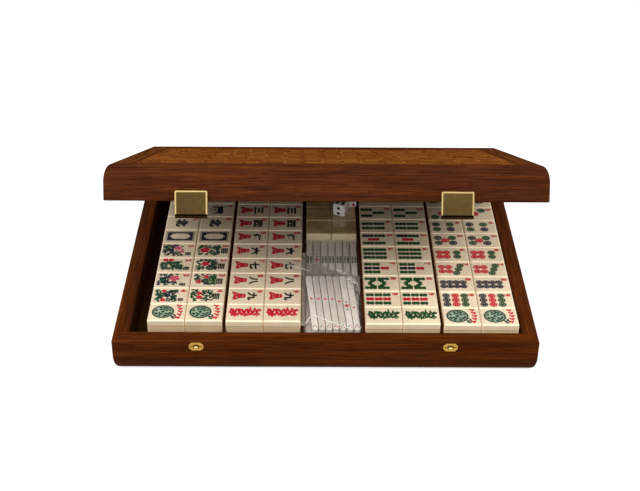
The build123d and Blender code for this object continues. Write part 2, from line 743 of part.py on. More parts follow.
# Dice lie on the spare blanks, each turned a little
die = rounded_block(DIE_SIZE, DIE_SIZE, DIE_SIZE, DIE_ROUND)
die_x = CENTRE_X + DIE_SEAT[0]
die_y = BLANK_START + DIE_SEAT[1]
for name, x, y, turn in (
    ("die_front", die_x, die_y, DIE_TURN),
    ("die_back", die_x + DIE_STEP[0], die_y + DIE_STEP[1], OTHER_DIE_TURN),
):
    save(die.moved(Location((x, y, TILE_TOP), (0, 0, turn))), name)

# Counting sticks: a flat pile in each bag, and in the front bag some loose layers that
# have slid back, so that they lean on the rear bag
with BuildPart() as stick:
    with BuildSketch(Plane.XY):
        SlotOverall(STICK_LENGTH, STICK_WIDTH, rotation=90)
    extrude(amount=STICK_THICKNESS)


def stick_rows(across, layers, turn=0):
    """Places of sticks side by side and on each other, about the middle of the lowest row."""
    pitch = STICK_PITCH_X / cos(radians(turn))
    return [
        Location(
            ((column - (across - 1) / 2) * pitch, 0, layer * STICK_PITCH_Z),
            (0, 0, turn),
        )
        for layer in range(layers)
        for column in range(across)
    ]


front_pile_y = FRONT_BAG_START + BAG_FILM + STICK_GAP + STICK_LENGTH / 2
rear_pile_y = REAR_BAG_START + STICK_GAP + STICK_LENGTH / 2
for name, y, layers in (
    ("sticks_front_pile", front_pile_y, FRONT_LAYERS),
    ("sticks_rear_pile", rear_pile_y, REAR_LAYERS),
):
    seat = Location((CENTRE_X, y, BAG_FLOOR))
    save(group(stick.part, [seat * spot for spot in stick_rows(STICKS_ACROSS, layers)]), name)

# The loose layers lean from the front pile up on to the front bag's mouth
MOUTH_FLOOR = REAR_BAG_TOP + BAG_PLAY + BAG_FILM
loose_y = front_pile_y + LOOSE_SLIDE
loose_near = loose_y - STICK_LENGTH / 2
mouth_start = FRONT_BAG_START + BAG_SPAN - BAG_FILM
LOOSE_TILT = degrees(atan2(MOUTH_FLOOR - FRONT_PILE_TOP, mouth_start - loose_near))
loose_slope = tan(radians(LOOSE_TILT))
loose_low = FRONT_PILE_TOP + STICK_GAP
loose_seat = Location(
    (CENTRE_X, loose_y, loose_low + (loose_y - loose_near) * loose_slope),
    (LOOSE_TILT, 0, 0),
)
loose_spots = stick_rows(STICKS_ACROSS - 1, LOOSE_LAYERS, LOOSE_TURN)
save(group(stick.part, [loose_seat * spot for spot in loose_spots]), "sticks_loose_layers")

# Bags: thin film round the sticks, each open at one end
BAG_LEFT = CENTRE_LEFT + BAG_PLAY
BAG_MIDDLE = BAG_LEFT + BAG_WIDTH / 2


def film_sleeve(outline, mouth_low, mouth_high):
    """A sleeve of film with the given side outline, open over the given stretch of it."""
    with BuildPart() as made:
        with BuildSketch(Plane.YZ.offset(BAG_MIDDLE)):
            with BuildLine():
                Polyline(*outline, close=True)
            make_face()
        extrude(amount=BAG_WIDTH / 2, both=True)
        with BuildSketch(Plane.YZ.offset(BAG_MIDDLE)):
            with BuildLine():
                Polyline(*outline, close=True)
            make_face()
            offset(amount=-BAG_FILM, kind=Kind.INTERSECTION)
            with BuildLine():
                Polyline(
                    (mouth_low[0], mouth_low[1]),
                    (mouth_high[0], mouth_low[1]),
                    mouth_high,
                    (mouth_low[0], mouth_high[1]),
                    close=True,
                )
            make_face()
        extrude(amount=BAG_WIDTH / 2 - BAG_FILM, both=True, mode=Mode.SUBTRACT)
    return made.part


front_end = FRONT_BAG_START + BAG_SPAN
mouth_end = front_end + MOUTH_REACH
mouth_low = REAR_BAG_TOP + BAG_PLAY
loose_stack = LOOSE_LAYERS * STICK_PITCH_Z + BAG_FILM + BAG_PLAY
loose_far = loose_near + STICK_LENGTH
near_top = loose_low + (FRONT_BAG_START - loose_near) * loose_slope + loose_stack
far_top = loose_low + STICK_LENGTH * loose_slope + loose_stack
flap_z = TILE_TOP + BAG_FILM
with BuildPart() as bag_front:
    add(
        film_sleeve(
            [
                (FRONT_BAG_START, TRAY_FLOOR),
                (front_end, TRAY_FLOOR),
                (front_end, mouth_low),
                (mouth_end, mouth_low),
                (mouth_end, mouth_low + MOUTH_HEIGHT),
                (loose_far + BAG_PLAY, far_top),
                (FRONT_BAG_START, near_top),
            ],
            (mouth_end - 2 * BAG_FILM, mouth_low + BAG_FILM),
            (mouth_end + BAG_FILM, mouth_low + MOUTH_HEIGHT - BAG_FILM),
        )
    )
    # A loose corner of film lies over the tiles on the left
    with BuildSketch(Plane.XY.offset(flap_z)):
        with Locations((BAG_LEFT + (BAG_FILM - FLAP_REACH) / 2, front_end + FLAP_LENGTH / 2)):
            Rectangle(FLAP_REACH + BAG_FILM, FLAP_LENGTH)
    extrude(amount=BAG_FILM)
save(bag_front.part, "bag_front")

rear_end = REAR_BAG_START + BAG_SPAN
bag_rear = film_sleeve(
    [
        (REAR_BAG_START, TRAY_FLOOR),
        (rear_end, TRAY_FLOOR),
        (rear_end, REAR_BAG_TOP),
        (REAR_BAG_START, REAR_BAG_TOP),
    ],
    (REAR_BAG_START - BAG_FILM, BAG_FLOOR),
    (REAR_BAG_START + 2 * BAG_FILM, REAR_PILE_TOP),
)
save(bag_rear, "bag_rear")

print(f"case {CASE_WIDTH:.1f} x {CASE_DEPTH:.1f}, base {BASE_HEIGHT:.1f}, lid {LID_HEIGHT:.2f}")
print(f"hinge axis y {HINGE_Y:.3f} z {HINGE_Z:.3f}; latch pin y {LATCH_PIN_Y:.3f} z {LATCH_PIN_Z:.3f}")
print(f"tray floor {TRAY_FLOOR:.2f}, tile top {TILE_TOP:.2f}, lid ceiling {LID_CEILING:.2f}")
print(f"sticks {STICKS_ACROSS} across, {FRONT_LAYERS} + {LOOSE_LAYERS} and {REAR_LAYERS} layers")
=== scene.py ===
"""The looks of a flat, hinged wooden case that holds a full set of mahjong tiles.

Finishes come first, then the mesh maker and the traditional marks of the tiles, then one class
for each sub-assembly, and last the studio. Sizes are in millimetres, and MM turns them to
Blender's metres. Lid pieces are laid out with the lid shut and turned to its display angle.
"""

import json
import logging
import math
import random
from dataclasses import dataclass, field
from enum import Enum
from functools import cache, partial
from typing import Callable, Iterable, Sequence

import bpy
from mathutils import Matrix, Vector, noise


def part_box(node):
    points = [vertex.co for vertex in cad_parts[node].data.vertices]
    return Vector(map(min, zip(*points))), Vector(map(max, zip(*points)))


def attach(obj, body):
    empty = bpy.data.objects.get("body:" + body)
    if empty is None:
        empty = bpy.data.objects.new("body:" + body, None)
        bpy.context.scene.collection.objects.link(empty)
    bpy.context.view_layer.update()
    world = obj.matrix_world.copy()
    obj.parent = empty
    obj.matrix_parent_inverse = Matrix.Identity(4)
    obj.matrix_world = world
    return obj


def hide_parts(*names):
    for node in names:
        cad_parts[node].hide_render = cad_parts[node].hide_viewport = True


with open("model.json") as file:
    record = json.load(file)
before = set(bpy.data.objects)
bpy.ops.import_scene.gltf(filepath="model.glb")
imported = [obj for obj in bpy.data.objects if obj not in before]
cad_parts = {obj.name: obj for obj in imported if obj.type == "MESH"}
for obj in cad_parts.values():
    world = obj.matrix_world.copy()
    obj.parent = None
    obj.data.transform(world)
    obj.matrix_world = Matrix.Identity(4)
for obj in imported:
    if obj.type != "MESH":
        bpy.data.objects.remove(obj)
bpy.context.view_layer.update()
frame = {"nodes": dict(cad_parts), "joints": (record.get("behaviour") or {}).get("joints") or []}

MM = 0.001
LOG = logging.getLogger("mahjong_case")

Point2 = tuple[float, float]
Point3 = tuple[float, float, float]
Colour = tuple[float, float, float, float]
Outline = Sequence[Point2]
Tree = bpy.types.NodeTree
Socket = bpy.types.NodeSocket


# ---------------------------------------------------------------- places taken from the frame
def low_corner(node: str) -> Vector:
    """Lowest corner of a CAD node in millimetres."""
    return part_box(node)[0] / MM


def high_corner(node: str) -> Vector:
    """Highest corner of a CAD node in millimetres."""
    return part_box(node)[1] / MM


def joint_named(name: str) -> dict:
    """The frame's joint of that name."""
    return next(joint for joint in frame["joints"] if joint["name"] == name)


UPRIGHT = Matrix.Identity(4)
LID_HINGE = joint_named("lid_hinge")
LID_OPEN = -math.radians(LID_HINGE["range_deg"][0])
HINGE_POINT = Vector(LID_HINGE["pos_m"]) / MM
LID_TILT = Matrix.Rotation(-LID_OPEN, 4, "X")
LID_TURN = Matrix.Translation(HINGE_POINT) @ LID_TILT @ Matrix.Translation(-HINGE_POINT)
SHUT_TURN = LID_TURN.inverted()
RIM_OVER_HINGE = 0.1
LID_RIM = HINGE_POINT.z + RIM_OVER_HINGE
LATCH_PIN = SHUT_TURN @ (Vector(joint_named("left_latch_pivot")["pos_m"]) / MM)
# A latch's flap: its field before the pin, its border before the field, its foot below the lid's
# rim, and the height of its lip
FLAP_BEFORE_PIN = 2.9
FLAP_FACE = FLAP_BEFORE_PIN - LATCH_PIN.y
FLAP_BORDER = 0.2
FLAP_BELOW = 12.0
FLAP_LIP = 0.8
TILE_TOP = high_corner("character_tiles").z
TRAY_FLOOR = low_corner("character_tiles").z


# ---------------------------------------------------------------- colours and nodes
def linear(colour: str) -> Colour:
    """Turns an sRGB hex value to the linear colour that Blender's sockets take.

    Args:
        colour: a value such as "#8a4c28".
    Returns:
        Red, green, blue and full opacity.
    """
    digits = colour.lstrip("#")
    channels = [int(digits[i : i + 2], 16) / 255 for i in (0, 2, 4)]
    red, green, blue = (c / 12.92 if c <= 0.04045 else ((c + 0.055) / 1.055) ** 2.4 for c in channels)
    return (red, green, blue, 1.0)


# Numbers of the Mix node's sockets, whose names repeat for each kind of data
FACTOR, FLOAT_A, FLOAT_B, COLOUR_A, COLOUR_B = 0, 2, 3, 6, 7
MIXED_COLOUR = 2


def add_node(
    tree: Tree, kind: str, values: dict | None = None, links: dict | None = None, output: int | str = 0
) -> Socket | None:
    """Adds a shader node with its settings and links.

    Args:
        tree: the node tree that gets the node.
        kind: the node's type without its "ShaderNode" prefix.
        values: property names, input names or input numbers, each with its value. A hex value is
            a colour, and "stops" is a colour ramp's list of positions and hex values.
        links: input names or numbers, each with the output socket that feeds it.
        output: name or number of the output to return.
    Returns:
        The output socket, or None where the node has no output.
    """
    node = tree.nodes.new("ShaderNode" + kind)
    for key, value in (values or {}).items():
        if key == "stops":
            while len(node.color_ramp.elements) < len(value):
                node.color_ramp.elements.new(0.5)
            for element, (position, colour) in zip(node.color_ramp.elements, value):
                element.position = position
                element.color = linear(colour)
        elif isinstance(key, int) or key in node.inputs:
            is_colour = isinstance(value, str) and value.startswith("#")
            node.inputs[key].default_value = linear(value) if is_colour else value
        else:
            setattr(node, key, value)
    for key, socket in (links or {}).items():
        tree.links.new(socket, node.inputs[key])
    return node.outputs[output] if node.outputs else None


class Frame(Enum):
    """Which way a piece's pattern is laid out."""

    BASE = "base"
    LID = "lid"


class Grain(Enum):
    """The direction in which wood grain runs."""

    ALONG_X = "x"
    ALONG_Y = "y"


def millimetres(tree: Tree, place: Frame) -> Socket:
    """Coordinates in millimetres on the piece itself, with the lid's taken as if it were shut.

    Args:
        tree: the material's nodes.
        place: whether the piece belongs to the base or to the lid.
    Returns:
        The vector socket.
    """
    coordinates = add_node(tree, "TexCoord", output="Object")
    shift, turn = (SHUT_TURN.to_translation(), LID_OPEN) if place is Frame.LID else (Vector(), 0.0)
    values = {"Location": shift, "Rotation": (turn, 0, 0), "Scale": (1 / MM,) * 3}
    return add_node(tree, "Mapping", values, {"Vector": coordinates})


def bare_material(name: str) -> bpy.types.Material:
    """A new material without any nodes.

    Args:
        name: the material's name.
    Returns:
        The material.
    """
    made = bpy.data.materials.new(name)
    made.use_nodes = True
    made.node_tree.nodes.clear()
    return made


@dataclass(frozen=True)
class Finish:
    """A surface finish. Subclasses make its shader."""

    name: str

    def material(self) -> bpy.types.Material:
        """Returns the finish's material, made the first time it is asked for."""
        made = bpy.data.materials.get(self.name)
        if made is None:
            made = bare_material(self.name)
            add_node(made.node_tree, "OutputMaterial", links={"Surface": self.shader(made.node_tree)})
        return made

    def shader(self, tree: Tree) -> Socket:
        """Builds the shader in the material's nodes and returns its output socket."""
        raise NotImplementedError


@dataclass(frozen=True)
class StainedHardwood(Finish):
    """Hardwood with a red-brown stain, planed, sanded and finished with a thin satin lacquer.

    Fine dark and orange streaks of grain run along the piece, broad bands of stain lie under
    them, short dark pores lie over them, and the lacquer leaves only a soft gloss. Streaks and
    pores are drawn coarser than real ones, so that they show.
    """

    dark: str
    middle: str
    light: str
    gloss: float
    grain: Grain = Grain.ALONG_X
    place: Frame = Frame.BASE
    streak_length: float = 46.0
    streak_width: float = 1.0
    band_length: float = 190.0
    band_width: float = 7.0
    band_share: float = 0.36
    pore_length: float = 12.0
    pore_width: float = 0.7
    contrast: float = 0.16

    def noise(
        self, tree: Tree, source: Socket, length: float, width: float, detail: float = 3.0
    ) -> Socket:
        """Noise that is drawn out along the grain.

        Args:
            tree: the material's nodes.
            source: the place in millimetres.
            length: a feature's length along the grain.
            width: its width across the grain.
            detail: how many layers of finer noise lie in it.
        Returns:
            The noise's socket.
        """
        along, across = 1 / length, 1 / width
        scale = (along, across, across) if self.grain is Grain.ALONG_X else (across, along, across)
        stretched = add_node(tree, "Mapping", {"Scale": scale}, {"Vector": source})
        values = {"Scale": 1.0, "Detail": detail, "Roughness": 0.6, "Distortion": 0.3}
        return add_node(tree, "TexNoise", values, {"Vector": stretched})

    def tone(self, tree: Tree, source: Socket) -> Socket:
        """A value from 0 to 1 that picks how dark the wood is.

        Args:
            tree: the material's nodes.
            source: the place in millimetres.
        Returns:
            The value's socket.
        """
        streaks = self.noise(tree, source, self.streak_length, self.streak_width, 4.0)
        bands = self.noise(tree, source, self.band_length, self.band_width)
        values = {"data_type": "FLOAT", FACTOR: self.band_share}
        return add_node(tree, "Mix", values, {FLOAT_A: streaks, FLOAT_B: bands})

    def shader(self, tree: Tree) -> Socket:
        """Builds the stained wood's shader.

        Args:
            tree: the material's nodes.
        Returns:
            The shader's socket.
        """
        add = partial(add_node, tree)
        source = millimetres(tree, self.place)
        tone = self.tone(tree, source)
        pores = self.noise(tree, source, self.pore_length, self.pore_width, 2.0)
        stops = [(0.5 - self.contrast, self.dark), (0.5, self.middle), (0.5 + self.contrast, self.light)]
        colour = add("ValToRGB", {"stops": stops}, {"Fac": tone})
        deep = {"From Min": 0.55, "From Max": 0.68, "To Max": 0.7}
        pore_mask = add("MapRange", deep, {"Value": pores})
        dark_pores = {"data_type": "RGBA", COLOUR_B: self.dark}
        stained = add("Mix", dark_pores, {FACTOR: pore_mask, COLOUR_A: colour}, MIXED_COLOUR)
        satin = {"From Min": 0.3, "From Max": 0.7, "To Min": 0.38, "To Max": 0.55}
        roughness = add("MapRange", satin, {"Value": tone})
        sunk = {"Strength": 0.3, "Distance": 0.15 * MM, "invert": True}
        bump = add("Bump", sunk, {"Height": pores})
        links = {"Base Color": stained, "Roughness": roughness, "Normal": bump}
        return add("BsdfPrincipled", {"Specular IOR Level": self.gloss}, links)


@dataclass(frozen=True)
class ParquetVeneer(StainedHardwood):
    """Sawn veneer strips laid in blocks and lacquered: each strip has its own tone."""

    strip_share: float = 0.55

    def tone(self, tree: Tree, source: Socket) -> Socket:
        """Mixes the strip's own tone with fine grain.

        Args:
            tree: the material's nodes.
            source: the place in millimetres.
        Returns:
            The value's socket.
        """
        streaks = super().tone(tree, source)
        strip = add_node(tree, "Attribute", {"attribute_name": "tone"}, output="Fac")
        values = {"data_type": "FLOAT", FACTOR: self.strip_share}
        return add_node(tree, "Mix", values, {FLOAT_A: streaks, FLOAT_B: strip})


@dataclass(frozen=True)
class FlockCloth(Finish):
    """Short black flock glued on board: matt, with faint brown patches at random, partly the
    pile's own colour and partly painted sheen.

    Its pile is drawn coarser than real fibres, so that it shows.
    """

    colour: str = "#26140a"
    fuzz: str = "#482c16"

    def shader(self, tree: Tree) -> Socket:
        """Builds the flock's shader.

        Args:
            tree: the material's nodes.
        Returns:
            The shader's socket.
        """
        add = partial(add_node, tree)
        source = millimetres(tree, Frame.BASE)
        pile = {"Scale": 1.4, "Detail": 4.0, "Roughness": 0.7}
        fibres = add("TexNoise", pile, {"Vector": source})
        # Random patches take the paler tint, partly the pile's own colour and partly painted sheen
        colour = add("ValToRGB", {"stops": [(0.35, self.colour), (0.75, self.fuzz)]}, {"Fac": fibres})
        bump = add("Bump", {"Strength": 0.4, "Distance": 0.25 * MM}, {"Height": fibres})
        matt = {"Roughness": 1.0, "Specular IOR Level": 0.04}
        return add("BsdfPrincipled", matt, {"Base Color": colour, "Normal": bump})


@dataclass(frozen=True)
class TilePlastic(Finish):
    """Cast tile plastic, tumbled to a polish: an ivory face on a slightly darker back.

    The body lets a little light through, and the sides that face a neighbour carry a painted
    amber glow for it. The front sides carry painted shade and the tumbled front bevels a
    painted highlight.
    """

    face: str = "#e7d2b2"
    back: str = "#d8bc94"
    # The amber is a painted glow on the sides that face a neighbour
    amber: str = "#b8772c"
    joint: str = "#a88a60"
    # Painted shade on the front sides and a painted highlight on the front bevels, as factors on the value
    front_shade: float = 0.97
    bevel_shine: float = 1.2
    thickness: float = 19.1
    pitch: float = 19.2
    face_layer: float = 6.6
    seam_blur: float = 0.15
    seam_line: float = 0.3

    def shader(self, tree: Tree) -> Socket:
        """Builds the two-tone plastic's shader.

        Args:
            tree: the material's nodes.
        Returns:
            The shader's socket.
        """
        add = partial(add_node, tree)
        source = millimetres(tree, Frame.BASE)
        height = add("SeparateXYZ", links={"Vector": source}, output="Z")
        raised = add("Math", {"operation": "SUBTRACT", 1: TRAY_FLOOR}, {0: height})
        in_tile = add("Math", {"operation": "MODULO", 1: self.pitch}, {0: raised})
        seam = self.thickness - self.face_layer
        step = {"From Min": seam - self.seam_blur, "From Max": seam + self.seam_blur}
        upper = add("MapRange", step, {"Value": in_tile})
        layers = {"data_type": "RGBA", COLOUR_A: self.back, COLOUR_B: self.face}
        colour = add("Mix", layers, {FACTOR: upper}, MIXED_COLOUR)
        at_seam = add("Math", {"operation": "COMPARE", 1: seam, 2: self.seam_line}, {0: in_tile})
        line = {"data_type": "RGBA", COLOUR_B: self.joint}
        colour = add("Mix", line, {FACTOR: at_seam, COLOUR_A: colour}, MIXED_COLOUR)
        clouds = {"Scale": 0.06, "Detail": 3.0, "Roughness": 0.5}
        mottle = add("TexNoise", clouds, {"Vector": source})
        normal = add("NewGeometry", output="Normal")
        facing = add("SeparateXYZ", links={"Vector": normal}).node.outputs
        bevel = add("Math", {"operation": "COMPARE", 1: -0.6, 2: 0.35}, {0: facing["Y"]})
        # Faint clouds, then painted shade on the front sides against the rest,
        # then a painted highlight on the front bevels
        for value, low, high, dark, bright in (
            (mottle, 0.35, 0.65, 0.93, 1.03),
            (facing["Y"], -0.99, -0.9, self.front_shade, 1.04),
            (bevel, 0.0, 1.0, 1.0, self.bevel_shine),
        ):
            limits = {"From Min": low, "From Max": high, "To Min": dark, "To Max": bright}
            shade = add("MapRange", limits, {"Value": value})
            colour = add("HueSaturation", links={"Color": colour, "Value": shade})
        # Painted glow: sides that face a neighbour turn amber, for the light that comes through the plastic
        side = add("Math", {"operation": "ABSOLUTE"}, {0: facing["X"]})
        glow = add("MapRange", {"From Min": 0.85, "To Max": 0.85}, {"Value": side})
        lit = {"data_type": "RGBA", COLOUR_B: self.amber}
        colour = add("Mix", lit, {FACTOR: glow, COLOUR_A: colour}, MIXED_COLOUR)
        wear = add("TexNoise", {"Scale": 0.9, "Detail": 4.0, "Roughness": 0.6}, {"Vector": source})
        polish = {"From Min": 0.3, "From Max": 0.7, "To Min": 0.2, "To Max": 0.34}
        roughness = add("MapRange", polish, {"Value": wear})
        body = {"IOR": 1.5, "Subsurface Weight": 0.06, "Subsurface Scale": 2.0 * MM}
        return add("BsdfPrincipled", body, {"Base Color": colour, "Roughness": roughness})


@dataclass(frozen=True)
class TileBack(Finish):
    """A tile lying face down: a polished, clouded olive-amber back over pale sides."""

    amber: str = "#9e8454"
    cloud: str = "#cdb27e"
    side: str = "#d8c8a0"

    def shader(self, tree: Tree) -> Socket:
        """Builds the shader of a tile that shows its back.

        Args:
            tree: the material's nodes.
        Returns:
            The shader's socket.
        """
        add = partial(add_node, tree)
        source = millimetres(tree, Frame.BASE)
        height = add("SeparateXYZ", links={"Vector": source}, output="Z")
        edge = {"From Min": TILE_TOP - 1.4, "From Max": TILE_TOP - 0.5}
        top = add("MapRange", edge, {"Value": height})
        clouds = {"Scale": 0.05, "Detail": 4.0, "Roughness": 0.55}
        mottle = add("TexNoise", clouds, {"Vector": source})
        back = add("ValToRGB", {"stops": [(0.3, self.amber), (0.7, self.cloud)]}, {"Fac": mottle})
        sides = {"data_type": "RGBA", COLOUR_A: self.side}
        colour = add("Mix", sides, {FACTOR: top, COLOUR_B: back}, MIXED_COLOUR)
        polish = {"Roughness": 0.08, "IOR": 1.52, "Coat Weight": 0.6, "Coat Roughness": 0.04}
        return add("BsdfPrincipled", polish, {"Base Color": colour})


@dataclass(frozen=True)
class EngravingPaint(Finish):
    """Enamel wiped into an engraved line: dense colour, a little thin in places."""

    colour: str
    thin: str

    def shader(self, tree: Tree) -> Socket:
        """Builds the paint's shader.

        Args:
            tree: the material's nodes.
        Returns:
            The shader's socket.
        """
        add = partial(add_node, tree)
        source = millimetres(tree, Frame.BASE)
        wiped = add("TexNoise", {"Scale": 0.8, "Detail": 3.0, "Roughness": 0.6}, {"Vector": source})
        colour = add("ValToRGB", {"stops": [(0.4, self.colour), (0.75, self.thin)]}, {"Fac": wiped})
        return add("BsdfPrincipled", {"Roughness": 0.42, "IOR": 1.48}, {"Base Color": colour})


@dataclass(frozen=True)
class MouldedPlastic(Finish):
    """Injection-moulded plastic with a fine even grain and a tone of its own on each piece."""

    colour: str = "#e6dcd0"
    shade: str = "#c0b4a4"
    roughness: float = 0.35
    own_share: float = 0.6

    def shader(self, tree: Tree) -> Socket:
        """Builds the moulded plastic's shader.

        Args:
            tree: the material's nodes.
        Returns:
            The shader's socket.
        """
        add = partial(add_node, tree)
        source = millimetres(tree, Frame.BASE)
        cloud = add("TexNoise", {"Scale": 0.12, "Detail": 3.0, "Roughness": 0.5}, {"Vector": source})
        own = add("Attribute", {"attribute_name": "tone"}, output="Fac")
        share = {"data_type": "FLOAT", FACTOR: self.own_share}
        mixed = add("Mix", share, {FLOAT_A: cloud, FLOAT_B: own})
        colour = add("ValToRGB", {"stops": [(0.2, self.shade), (0.8, self.colour)]}, {"Fac": mixed})
        grain = add("TexNoise", {"Scale": 2.0, "Detail": 2.0}, {"Vector": source})
        bump = add("Bump", {"Strength": 0.04, "Distance": 0.05 * MM}, {"Height": grain})
        skin = {"Roughness": self.roughness, "IOR": 1.46}
        return add("BsdfPrincipled", skin, {"Base Color": colour, "Normal": bump})


@dataclass(frozen=True)
class ClearFilm(Finish):
    """Thin clear polypropylene film: nearly invisible where flat, milky along its creases.

    The creases are drawn coarser than real ones, so that they show.
    """

    colour: str = "#dcd2c4"
    veil: float = 0.02
    crease: float = 0.16

    def shader(self, tree: Tree) -> Socket:
        """Builds the film's shader.

        Args:
            tree: the material's nodes.
        Returns:
            The shader's socket.
        """
        add = partial(add_node, tree)
        source = millimetres(tree, Frame.BASE)
        crumple = {"Scale": 0.11, "Detail": 2.0, "Roughness": 0.5, "Distortion": 1.4}
        crinkle = add("TexNoise", crumple, {"Vector": source})
        milk = {"From Min": 0.54, "From Max": 0.72, "To Min": self.veil, "To Max": self.crease}
        alpha = add("MapRange", milk, {"Value": crinkle})
        bump = add("Bump", {"Strength": 0.3, "Distance": 0.5 * MM}, {"Height": crinkle})
        film = {"Base Color": self.colour, "Roughness": 0.2, "IOR": 1.3}
        return add("BsdfPrincipled", film, {"Alpha": alpha, "Normal": bump})


@dataclass(frozen=True)
class PolishedBrass(Finish):
    """Pressed brass, polished and lacquered: brighter where it is rubbed, duller where aged."""

    bright: str
    roughness: float
    aged: str = "#8d7138"
    dulling: float = 0.12
    place: Frame = Frame.LID

    def tarnish(self, tree: Tree, source: Socket) -> Socket:
        """Soft clouds of wear, from 0 to 1."""
        clouds = {"Scale": 0.25, "Detail": 5.0, "Roughness": 0.6}
        return add_node(tree, "TexNoise", clouds, {"Vector": source})

    def shader(self, tree: Tree) -> Socket:
        """Builds the brass shader.

        Args:
            tree: the material's nodes.
        Returns:
            The shader's socket.
        """
        add = partial(add_node, tree)
        tarnish = self.tarnish(tree, millimetres(tree, self.place))
        rubbed = add("MapRange", {"From Min": 0.35, "From Max": 0.62}, {"Value": tarnish})
        tints = {"data_type": "RGBA", COLOUR_A: self.aged, COLOUR_B: self.bright}
        colour = add("Mix", tints, {FACTOR: rubbed}, MIXED_COLOUR)
        limits = {"From Min": 0.3, "From Max": 0.7, "To Min": self.roughness}
        limits["To Max"] = self.roughness + self.dulling
        roughness = add("MapRange", limits, {"Value": tarnish})
        return add("BsdfPrincipled", {"Metallic": 1.0}, {"Base Color": colour, "Roughness": roughness})


@dataclass(frozen=True)
class PressedCatch(PolishedBrass):
    """Pressed brass plate with a bulged tongue: painted shade round its foot, painted highlight atop."""

    centre: Point3 = (0, 0, 0)
    foot: Point2 = (4.0, 2.7)
    top: Point2 = (2.0, 1.3)
    top_drop: float = 0.3
    # The darker tint is painted shade round the tongue's foot, the paler one a painted highlight on its top
    brown: str = "#4a3010"
    crown: str = "#f6e2a0"

    def oval(self, tree: Tree, source: Socket, size: Point2, drop: float = 0.0) -> Socket:
        """1 inside a soft oval about the tongue's middle, 0 outside it.

        Args:
            tree: the material's nodes.
            source: the place in millimetres.
            size: half the oval's width and height.
            drop: how far below the middle it lies.
        Returns:
            The oval's socket.
        """
        add = partial(add_node, tree, "VectorMath")
        x, y, z = self.centre
        near = add({"operation": "SUBTRACT", 1: (x, y, z - drop)}, {0: source})
        scaled = add({"operation": "MULTIPLY", 1: (1 / size[0], 0, 1 / size[1])}, {0: near})
        reach = add({"operation": "LENGTH"}, {0: scaled}, "Value")
        return add_node(tree, "MapRange", {"From Min": 1.0, "From Max": 0.75}, {"Value": reach})

    def shader(self, tree: Tree) -> Socket:
        """Builds the catch plate's shader.

        Args:
            tree: the material's nodes.
        Returns:
            The shader's socket.
        """
        add = partial(add_node, tree)
        source = millimetres(tree, self.place)
        # Painted shade round the tongue's foot, then a painted highlight on the tongue's top
        foot = self.oval(tree, source, self.foot)
        plate = {"data_type": "RGBA", COLOUR_A: self.bright, COLOUR_B: self.brown}
        colour = add("Mix", plate, {FACTOR: foot}, MIXED_COLOUR)
        crown = {"data_type": "RGBA", COLOUR_B: self.crown}
        top = self.oval(tree, source, self.top, self.top_drop)
        colour = add("Mix", crown, {FACTOR: top, COLOUR_A: colour}, MIXED_COLOUR)
        limits = {"To Min": self.roughness, "To Max": self.roughness + self.dulling}
        roughness = add("MapRange", limits, {"Value": self.tarnish(tree, source)})
        return add("BsdfPrincipled", {"Metallic": 1.0}, {"Base Color": colour, "Roughness": roughness})


@dataclass(frozen=True)
class EngravedLatch(PolishedBrass):
    """Die-cast brass flap: an aged, mirror-like olive field, a satin gold border and a lip in
    dark brown painted shade."""

    border: float = 0.0
    lip: float = 0.0
    # The lip's dark tint is painted shade
    brown: str = "#241808"
    worn: str = "#d2ae6a"
    border_roughness: float = 0.36

    def shader(self, tree: Tree) -> Socket:
        """Builds the flap's shader.

        Args:
            tree: the material's nodes.
        Returns:
            The shader's socket.
        """
        add = partial(add_node, tree)
        source = millimetres(tree, self.place)
        axes = add("SeparateXYZ", links={"Vector": source}).node.outputs
        forward = add("Math", {"operation": "MULTIPLY", 1: -1.0}, {0: axes["Y"]})
        rise = {"From Min": self.border, "From Max": self.border + 0.1}
        raised = add("MapRange", rise, {"Value": forward})
        upper = add("MapRange", {"From Min": self.lip, "From Max": self.lip + 0.2}, {"Value": axes["Z"]})
        tarnish = self.tarnish(tree, source)
        field_tint = add("ValToRGB", {"stops": [(0.3, self.aged), (0.7, self.worn)]}, {"Fac": tarnish})
        gold = {"data_type": "RGBA", COLOUR_B: self.bright}
        colour = add("Mix", gold, {FACTOR: raised, COLOUR_A: field_tint}, MIXED_COLOUR)
        # Painted shade: below the lip's height the flap takes the dark tint
        brown = {"data_type": "RGBA", COLOUR_A: self.brown}
        colour = add("Mix", brown, {FACTOR: upper, COLOUR_B: colour}, MIXED_COLOUR)
        limits = {"To Min": self.roughness, "To Max": self.border_roughness}
        roughness = add("MapRange", limits, {"Value": raised})
        return add("BsdfPrincipled", {"Metallic": 1.0}, {"Base Color": colour, "Roughness": roughness})


